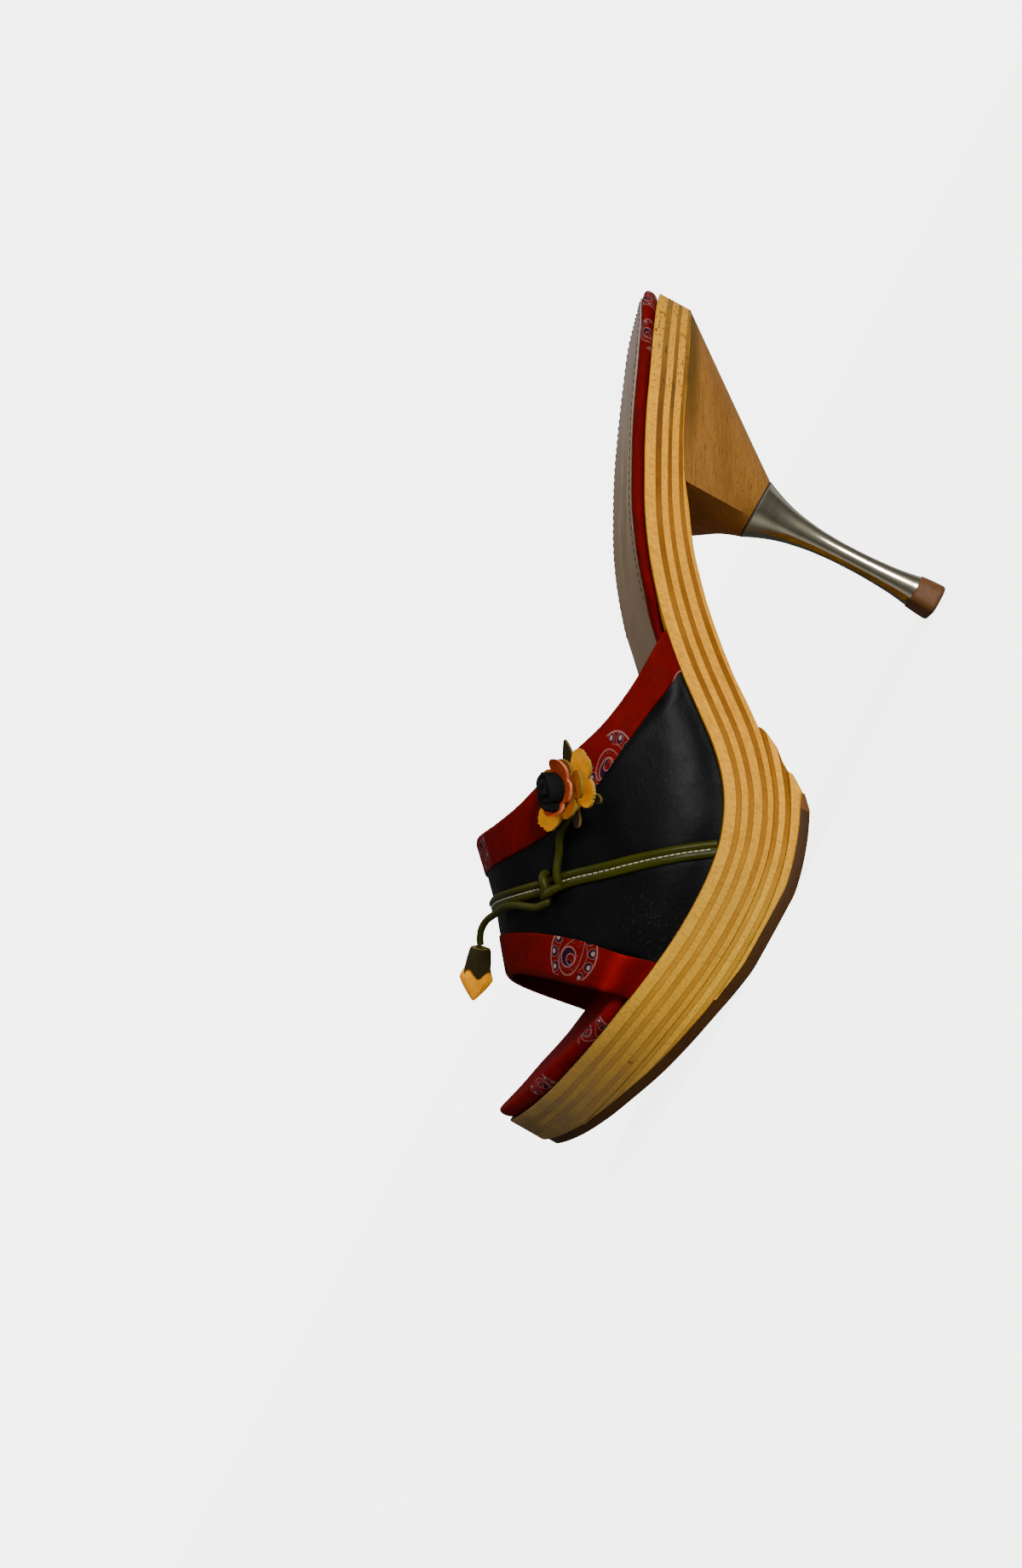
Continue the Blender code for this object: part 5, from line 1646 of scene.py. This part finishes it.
# ----- the strap
@dataclass
class TiedStrap:
    """Narrow green strap with one row of stitches, and the cord tied round it."""

    cord_radius: float = 1.0
    knot_turn: float = 38.8
    tuck_in: float = 0.8
    stitch_step: float = 1.55
    stitch_long: float = 1.1
    cord_hint: Spot = (0.2, 0.1, 0.97)
    section: Rows = (  # across the strap, height over the leather
        (-2.1, 0), (-2.1, 0.55), (-1.95, 0.95), (-1.6, 1.25), (-1.15, 1.36), (-0.7, 1.27),
        (-0.4, 1.02), (-0.2, 0.78), (0, 0.74), (0.25, 0.78), (0.55, 0.98), (1, 1.06),
        (1.5, 1.02), (1.9, 0.82), (2.08, 0.5), (2.1, 0), (0, -0.12), (-2.1, 0))
    turn_over: Rows = (  # forward, onward and lift, as tie_point takes them
        (-3.3, 0.5, 0.6), (-3.1, 0.4, 1.9), (-2.2, 0.2, 2.8), (-1, 0.1, 3.1),
        (0.2, 0, 3.1), (1.3, 0.1, 2.9), (2.2, 0.4, 2.3), (2.8, 0.8, 1.4))
    nub: Rows = ((1.2, -3.9, 1.6), (1.4, -3, 2.3), (1.7, -1.6, 3), (2.1, -0.1, 3.4),
                 (2.5, 1.2, 2.9), (2.5, 2.1, 2), (2.1, 2.6, 1))
    tail: Rows = ((2.2, 1.9, 1.2), (2.9, 1.5, 1.9), (3.5, 1.2, 2.4), (4.1, 1.2, 2.7), (4.2, 1.7, 2.7))

    def frame_at(self, turn: Amount) -> tuple[Array, Array, Array, Array]:
        """Middle, run, width and outward direction of the strap at a turn."""
        turn = np.asarray(turn, float)
        along = STRAP_LINE(turn)
        low, high = np.maximum(turn - 1.0, 0.0), np.minimum(turn + 1.0, 180.0)
        run = unit(LAST.arch(STRAP_LINE(high), high) - LAST.arch(STRAP_LINE(low), low))
        out = LAST.out_of_face(along, turn)
        full = 0.85 * foot_relief(turn)[..., None]
        return LAST.arch(along, turn) + out * full, run, unit(np.cross(out, run)), out

    def tie_point(self, forward: float, onward: float, lift: float) -> Array:
        """A place beside the knot.

        Args:
            forward: towards the toe.
            onward: towards the crest.
            lift: off the leather.

        Returns:
            The place on the shoe.
        """
        middle, run, wide, out = self.frame_at(self.knot_turn)
        return middle + wide * forward + run * onward + out * lift

    def _strap(self) -> None:
        """The strap: a round bead along its rear edge, flatter towards the toe."""
        turns = np.concatenate([np.linspace(0.3, 60.0, 120), np.linspace(60.6, 179.7, 130)])
        middle, run, wide, out = self.frame_at(turns)
        far = travelled(middle)[:, None]
        middle[0] -= run[0] * self.tuck_in
        middle[-1] += run[-1] * self.tuck_in
        side, lift = np.array(self.section).T[..., None]
        grid = middle[:, None] + wide[:, None] * side + out[:, None] * (lift + 0.05)
        grid += out[:, None] * (0.05 * rough(grid, 3.0, 2.0))[..., None]
        body = Body("green_strap").grid(grid, stack(far, side[:, 0] * 1.3, 0.0), shut=True)
        body.build([GREEN], "green_leather", "strap", sharp=80.0)

    def _stitches(self) -> None:
        """One row of short stitches in the strap's groove, but for the knot."""
        turns = np.linspace(0.8, 179.2, 700)
        middle, _, wide, out = self.frame_at(turns)
        line = middle + wide * 0.12 + out * 0.86
        far = travelled(line)
        starts = np.arange(0.4, far[-1] - 1.4, self.stitch_step)
        off = starts - np.interp(self.knot_turn, turns, far)
        body = Body("strap_stitches")
        sew(body, line, out, starts[(off <= -4.5) | (off >= 3.4)], self.stitch_long,
            0.14 * np.sin(np.linspace(0.0, pi, 6)), 0.2, 10, (0.13, 0.31, 0.94))
        body.build([Thread("pale_thread")], "green_leather", sharp=80.0)

    def _knot(self) -> None:
        """Turn of cord over the strap and the nub that it pulls through."""
        body = Body("cord_knot")
        for route, samples, full, swell in (
                (self.turn_over, 7, 1.0, 0.16), (self.nub, 6, 1.05, 0.0), (self.tail, 6, 1.02, 0.0)):
            path = smooth_route([self.tie_point(*spot) for spot in route], samples)
            size = full + swell * np.sin(np.linspace(0.0, pi, len(path)))
            tube(body, path, self.cord_radius * size, 24, self.cord_hint)
        body.build([GREEN], "green_leather", "strap_knot", sharp=70.0)

    def build(self) -> None:
        """Makes the strap, its stitches and the knot."""
        self._strap()
        self._stitches()
        self._knot()


# ----- flower and bud
class Lobe(Enum):
    """Cut of a petal's tip: how fast it narrows, and how blunt it ends."""

    ROUND = (2.6, 0.6)
    POINTED = (1.1, 1.0)


@dataclass(frozen=True)
class Petal:
    """One cut lobe of a rosette."""

    centre: float  # direction in degrees, 0 towards the heel
    reach: float
    half: float  # half of its angle
    lift: float = 0.0  # how far its tip curls up
    ragged: float = 0.0  # size of nicks in its edge
    lobe: Lobe = Lobe.ROUND


@dataclass(frozen=True)
class Rosette:
    """One cut ring of petals with pale cut edges."""

    name: str
    node: str
    slot: str
    face: Suede
    cut: Suede
    core: float  # radius of the whole middle
    cup: float  # rise of the bowl at 10 mm
    height: float  # its underside over the flower's base
    thick: float
    petals: Sequence[Petal]
    around: int = 220
    rings: int = 12

    def outline(self, angle: Array) -> tuple[Array, Array]:
        """Radius of the cut edge and the tip's curl at each angle."""
        reach = np.full_like(angle, self.core)
        curl = np.zeros_like(angle)
        for petal in self.petals:
            off = np.abs((np.degrees(angle) - petal.centre + 180.0) % 360.0 - 180.0)
            away = np.clip(off / petal.half, 0.0, 1.0)
            narrow, blunt = petal.lobe.value
            lobe = self.core + (petal.reach - self.core) * (1.0 - away ** narrow) ** blunt
            nick = np.sin(angle * 23.0 + petal.centre) * np.sin(angle * 41.0)
            lobe = lobe + petal.ragged * nick * (1.0 - away)
            reach = np.maximum(reach, np.where(away < 1.0, lobe, self.core))
            curl += petal.lift * ease(1.0 - away)
        return reach, curl

    def build(self, point: Callable[[Array, Array, Array], Array]) -> None:
        """Makes the ring of petals.

        Args:
            point: turns radius, angle and height into a place on the shoe.
        """
        angle = np.linspace(0.0, FULL_TURN, self.around + 1)
        reach, curl = self.outline(angle)
        share = np.append(0.002, np.linspace(0.0, 1.0, self.rings)[1:])[:, None]
        radius = reach * share
        rise = self.height + self.cup * (radius / 10.0) ** 2 + curl * share ** 2
        rise = rise + 0.16 * rough(point(radius, angle, rise), 4.0, self.height) * share
        low, high = (point(radius, angle, rise + up) for up in (0.0, self.thick))
        lay = stack(radius * np.cos(angle), radius * np.sin(angle), self.height)
        body = Body(self.name).grid(low, lay).grid(high, lay)
        body.grid(np.stack([low[-1], high[-1]]), np.stack([lay[-1]] * 2), 1)
        body.fan(low[0], lay[0]).fan(high[0], lay[0])
        body.build([self.face, self.cut], self.slot, self.node, sharp=42.0, weld=1e-6)


@dataclass
class LeatherFlower:
    """Rosette of cut leather on a round stem, with a rolled black centre."""

    spot: tuple[float, float] = (98.4, 30.6)  # along and turn
    spot_lift: float = 5.2
    axis: Spot = (0.47, 0.61, 0.64)
    stem_radius: float = 1.0
    roll_long: float = 1.16
    roll_wide: float = 0.78
    roll_shift: float = 0.9
    roll_turns: float = 2.2
    roll_half: float = 0.78  # half of the rolled strip's thickness
    strip: Rows = ((-1, 0), (1, 0), (1, 1), (0.6, 1.06), (-0.6, 1.06), (-1, 1), (-1, 0))
    rosettes: Sequence[Rosette] = (
        Rosette("olive_sepals", "flower_sepals", "olive_leather", OLIVE, OLIVE_CUT, 4.0, 0.5, 0.0, 0.8, (
                    Petal(-3, 12.8, 24, 0.3, 0, Lobe.POINTED),
                    Petal(-116, 11, 12, -0.4), Petal(-177, 10, 12, 0.2),
                    Petal(118, 10, 12), Petal(58, 9, 12))),
        Rosette("yellow_petals", "flower_petals_outer", "yellow_leather", YELLOW, YELLOW_CUT,
                6.0, 1.0, 1.05, 0.9, (
                    Petal(-52, 11.8, 31, 0.6, 0.35), Petal(-109, 10.4, 30, 0.1, 0.3),
                    Petal(126, 13, 26, -0.3, 0.55), Petal(60, 8.4, 27, 0, 0.3))),
        Rosette("orange_petals", "flower_petals_middle", "orange_leather", ORANGE, GREEN_CUT,
                4.8, 2.9, 2.4, 0.9, (
                    Petal(-90, 9.4, 34, 0.4, 0.1), Petal(-162, 8, 30, 0.2, 0.1),
                    Petal(-18, 7.6, 30, 0.4, 0.1), Petal(52, 7.6, 30, 0, 0.1),
                    Petal(124, 7.8, 30, -0.2, 0.1))),
        Rosette("inner_orange_petals", "flower_petals_inner", "orange_leather", RUST, PINK_CUT,
                4.0, 5.4, 3.7, 0.9, (
                    Petal(-22, 7.6, 38, 0.3, 0.1), Petal(156, 7, 38, 0.4, 0.1),
                    Petal(68, 6.4, 38, 0, 0.1), Petal(-112, 5, 38, 0, 0.1))))

    def point(self, radius: Amount, angle: Amount, height: Amount) -> Array:
        """Points in the flower's own round frame, angle 0 towards the heel."""
        up = unit(np.array(self.axis))
        side, other = square_to(up)
        base = LAST.over(*self.spot, self.spot_lift)
        radius, angle, height = np.expand_dims(np.broadcast_arrays(radius, angle, height), -1)
        return base + radius * (np.cos(angle) * side + np.sin(angle) * other) + height * up

    def _roll(self) -> None:
        """Rolled strip of black leather in the middle."""
        t = np.linspace(0.0, 1.0, 150)
        angle = t * self.roll_turns * FULL_TURN + 2.2
        low = 5.2 - 0.6 * t + 0.15 * np.sin(angle * 2.3)
        high = 10.35 - 1.5 * t + 0.25 * np.sin(angle * 1.7 + 0.6)
        columns = []
        for out, share in self.strip:
            bulge = 0.35 * sin(pi * min(share, 1.0))
            far = 0.55 + 3.5 * t + out * self.roll_half + bulge * t
            x = far * np.cos(angle) * self.roll_long
            y = far * np.sin(angle) * self.roll_wide + self.roll_shift
            columns.append(self.point(np.hypot(x, y), np.arctan2(y, x), low + (high - low) * share))
        grid = np.stack(columns, 1)
        grid += 0.32 * stack(*(rough(grid, 2.6, seed) for seed in (3.0, 5.0, 9.0)))
        rise = np.array([out * self.roll_half + share * 5.0 for out, share in self.strip])
        lay = stack(travelled(grid[:, 1])[:, None], rise, 0.0)
        Body("black_rolled_centre").grid(grid, lay, shut=True).build(
            [BLACK], "black_leather", "flower_knot", sharp=55.0)

    def _stem(self) -> None:
        """Round cord from the strap to the flower's underside."""
        tie, over = TiedStrap().tie_point, LAST.over
        route = [tie(1.3, -3.5, 0.5), tie(0.6, -3.6, 1.5), tie(-0.6, -3.9, 2.1),
                 tie(-2.7, -4.2, 2.0), over(114.2, 35.2, 1.6), over(108.6, 34.2, 2.2),
                 self.point(2.0, radians(-170.0), -2.4), self.point(0.0, 0.0, -0.1)]
        body = Body("green_flower_stem")
        tube(body, smooth_route(route, 12), self.stem_radius, 24, (0.1, 0.2, 0.97))
        body.build([GREEN], "green_leather", "flower_stem", sharp=70.0)

    def build(self) -> None:
        """Makes the stem and every layer of the flower."""
        self._stem()
        for rosette in self.rosettes:
            rosette.build(self.point)
        self._roll()


@dataclass
class HangingBud:
    """Cord with a leather bud: olive sleeve and folded yellow petals."""

    radius: float = 1.0
    length: float = 0.046  # metres
    around: int = 97
    route: Rows = (  # along, across, height
        (127, 11.6, 53.2), (129, 9, 54.8), (129.8, 5.3, 57.4), (130.5, 0.9, 60),
        (131.4, -3.8, 61.9), (132.7, -8.8, 63), (133.8, -13.2, 63.6), (134.8, -17.2, 64.3),
        (136.2, -20.8, 65), (138.5, -23.8, 65.1), (140.7, -25.9, 64.3), (142.2, -26.8, 63.3))
    axis_start: Spot = (142.8, -27.1, 62.85)
    axis_end: Spot = (156.6, -32.0, 57.5)
    sleeve: Rows = (  # share of the axis, half width, half depth
        (0.03, 1.2, 1.1), (0, 2, 1.8), (0.012, 2.7, 2.2), (0.05, 3, 2.4),
        (0.15, 3.25, 2.55), (0.25, 3.5, 2.7), (0.35, 3.8, 2.8), (0.44, 4.1, 2.85))
    folded: Rows = (  # the same of the petals
        (0.3, 3.1, 2.1), (0.4, 3.75, 2.35), (0.48, 4.25, 2.5), (0.55, 4.7, 2.5),
        (0.6, 4.7, 2.45), (0.68, 4, 2.25), (0.78, 3, 1.85), (0.88, 1.8, 1.3),
        (0.95, 0.95, 0.8), (0.99, 0.35, 0.35))

    @property
    def turn(self) -> Array:
        """Angles round the bud."""
        return np.linspace(0.0, FULL_TURN, self.around)

    def _ring(self, share: Amount, wide: Amount, deep: Amount) -> Array:
        """An oval ring across the bud's axis."""
        a, z = np.array(self.axis_start), np.array(self.axis_end)
        side, other = square_to(unit(z - a))
        x, y = (wide * np.cos(self.turn))[:, None], (deep * np.sin(self.turn))[:, None]
        return a + (z - a) * np.asarray(share)[..., None] + side * x + other * y

    def _cord(self) -> Piece:
        """The round cord, a curve of one open line."""
        path = LAST.place(smooth_route(self.route, 3))
        curve = bpy.data.curves.new("green_bud_cord", "CURVE")
        curve.dimensions = "3D"
        curve.bevel_depth = self.radius / 1000.0
        curve.bevel_resolution = 5
        curve.use_fill_caps = True
        line = curve.splines.new("POLY")
        line.points.add(len(path) - 1)
        for point, spot in zip(line.points, path):
            point.co = (*spot, 1.0)
        line.use_smooth = True
        return show("green_bud_cord", curve, [GREEN], "green_leather", ["bud_cord"])

    def _calyx(self) -> Piece:
        """Olive sleeve, its rim cut pale and its lower edge cut to points."""
        teeth = 0.5 + 0.5 * np.cos(self.turn * 4.0 + 0.5)
        rows = []
        for share, wide, deep in self.sleeve:
            fall = ease((share - 0.25) / 0.2)
            puff = 1.0 - 0.08 * teeth * fall
            rows.append(self._ring(share + 0.16 * (teeth - 0.35) * fall, wide * puff, deep * puff))
        puff = 1.0 - 0.08 * teeth
        inner = self._ring(0.43 + 0.16 * (teeth - 0.35), 3.6 * puff, 2.35 * puff)
        grid = np.stack(rows)
        body = Body("olive_calyx").grid(grid[2:]).grid(grid[:3], None, 1)
        body.grid(np.stack([grid[-1], inner]), None, 1)
        body.grid(np.stack([inner, self._ring(0.2, 3.0, 2.2)])).fan(grid[0])
        return body.build([OLIVE, OLIVE_CUT], "olive_leather", "bud_calyx", sharp=45.0)

    def _petals(self) -> Piece:
        """Two yellow petals folded to a point, with a crease down the middle."""
        across, along = np.abs(np.sin(self.turn)), np.abs(np.cos(self.turn))
        fold = 1.0 - 0.18 * np.exp(-((across - 1.0) / 0.1) ** 2)
        square = 1.0 / (along + across) ** 0.55
        grid = np.stack([self._ring(share, wide * square, deep * square * fold * 1.08)
                         for share, wide, deep in self.folded])
        return Body("folded_yellow_petals").grid(grid, shut=True).build(
            [YELLOW], "yellow_leather", "bud_petals", sharp=50.0)

    def build(self) -> None:
        cord = self._cord()
        pieces = [self._calyx(), self._petals()]
        tuple(LAST.place(self.route[0]))


# ----- studio
@dataclass
class Studio:
    """Camera, soft lights, pale floor and pale surroundings."""

    eye: Spot = (172.107, 452.1, 56.519)
    look: Spot = (-0.15131142, -0.98749846, 0.04417129)
    right: Spot = (-0.4886336, 0.03587937, -0.87173831)
    view_height: float = 0.91093  # of the frame, at one unit of distance
    film: float = 36.0
    floor_half: float = 8.0
    room: tuple[Colour, float] = ((0.95, 0.97, 1.0), 0.4)  # colour and strength
    backdrop: tuple[Colour, float] = ((1.0, 0.995, 0.985), 5.3)
    mirrored: Rows = ((0, 0.09), (0.3, 0.22), (0.52, 0.78), (0.72, 0.15), (0.9, 0.32),
                      (1, 0.9))  # from behind the shoe round to the window
    window_side: Spot = (-0.43, 0.9, 0.02)
    lights: Sequence = (  # name, direction to it, strength, width in degrees, colour
        ("window", window_side, 7.2, 20.0, (1.0, 0.985, 0.96)),
        ("ceiling", (-0.1, 0.1, 1.0), 1.7, 50.0, (0.96, 0.98, 1.0)))
    paper: Finish = StudioPaper("studio_paper")

    def camera(self) -> None:
        """Stands the camera beside the shoe, rolled over."""
        data = bpy.data.cameras.new("camera")
        data.sensor_fit = "VERTICAL"
        data.sensor_height = self.film
        data.lens = self.film / self.view_height
        data.clip_start = 0.01
        data.clip_end = 50.0
        right, look = LAST.heading(self.right), LAST.heading(self.look)
        turn = Matrix((right, right.cross(look), -look)).transposed().to_4x4()
        piece = add_object("camera", data)
        piece.matrix_world = Matrix.Translation(LAST.place(self.eye)) @ turn
        bpy.context.scene.camera = piece

    def _floor(self) -> None:
        """The sheet of paper, which lights nothing."""
        mesh = bpy.data.meshes.new("studio_floor")
        corners = [(x * self.floor_half, y * self.floor_half, 0.0)
                   for x, y in ((-1, -1), (1, -1), (1, 1), (-1, 1))]
        mesh.from_pydata(corners, [], [(0, 1, 2, 3)])
        mesh.materials.append(self.paper.make())
        floor = add_object("studio_floor", mesh)
        floor.visible_diffuse = False
        floor.visible_glossy = False

    def _surroundings(self) -> None:
        """Pale backdrop for the eye, dimmer as a source of light, banded in the steel."""
        world = bpy.data.worlds.new("studio")
        bpy.context.scene.world = world
        b = Bench(world)
        toward = b.node("VectorMath", {"operation": "DOT_PRODUCT"}, {
            0: b.node("TexCoord", out="Generated"),
            1: LAST.heading(self.window_side).normalized()}, "Value")
        grey = b.node("ValToRGB", {"stops": self.mirrored}, {0: toward * 0.5 + 0.5})
        shown = None
        for ray, colour, strength in ((None, *self.room), ("Is Glossy Ray", grey, 1.0),
                                      ("Is Camera Ray", *self.backdrop)):
            glow = b.node("Background", None, {"Color": colour, "Strength": strength})
            shown = glow if shown is None else b.node(
                "MixShader", None, {0: b.node("LightPath", out=ray), 1: shown, 2: glow})
        b.plug(b.tree.nodes["World Output"].inputs["Surface"], shown)

    def _windows(self) -> None:
        """Two broad distant lights."""
        for name, toward, strength, wide, colour in self.lights:
            sun = bpy.data.lights.new(name, "SUN")
            sun.energy = strength
            sun.angle = radians(wide)
            sun.color = colour
            facing = LAST.heading(toward).to_track_quat("Z", "Y")
            add_object(name, sun).matrix_world = facing.to_matrix().to_4x4()

    def build(self) -> None:
        """Makes the camera, the floor, the lights and the surroundings."""
        self.camera()
        self._floor()
        self._surroundings()
        self._windows()


# ----- main
def main() -> None:
    """Builds the shoe and the studio, part by part."""
    logging.basicConfig(level=logging.INFO, format="%(name)s %(message)s")
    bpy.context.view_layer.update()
    for part in (HangingBud, BentwoodSole, RubberOutsole, SteelHeel, Footbed, Vamp, TiedStrap,
                 LeatherFlower, Studio):
        part().build()
        LOG.info("%s is made", part.__name__)


if __name__ == "__main__":
    main()
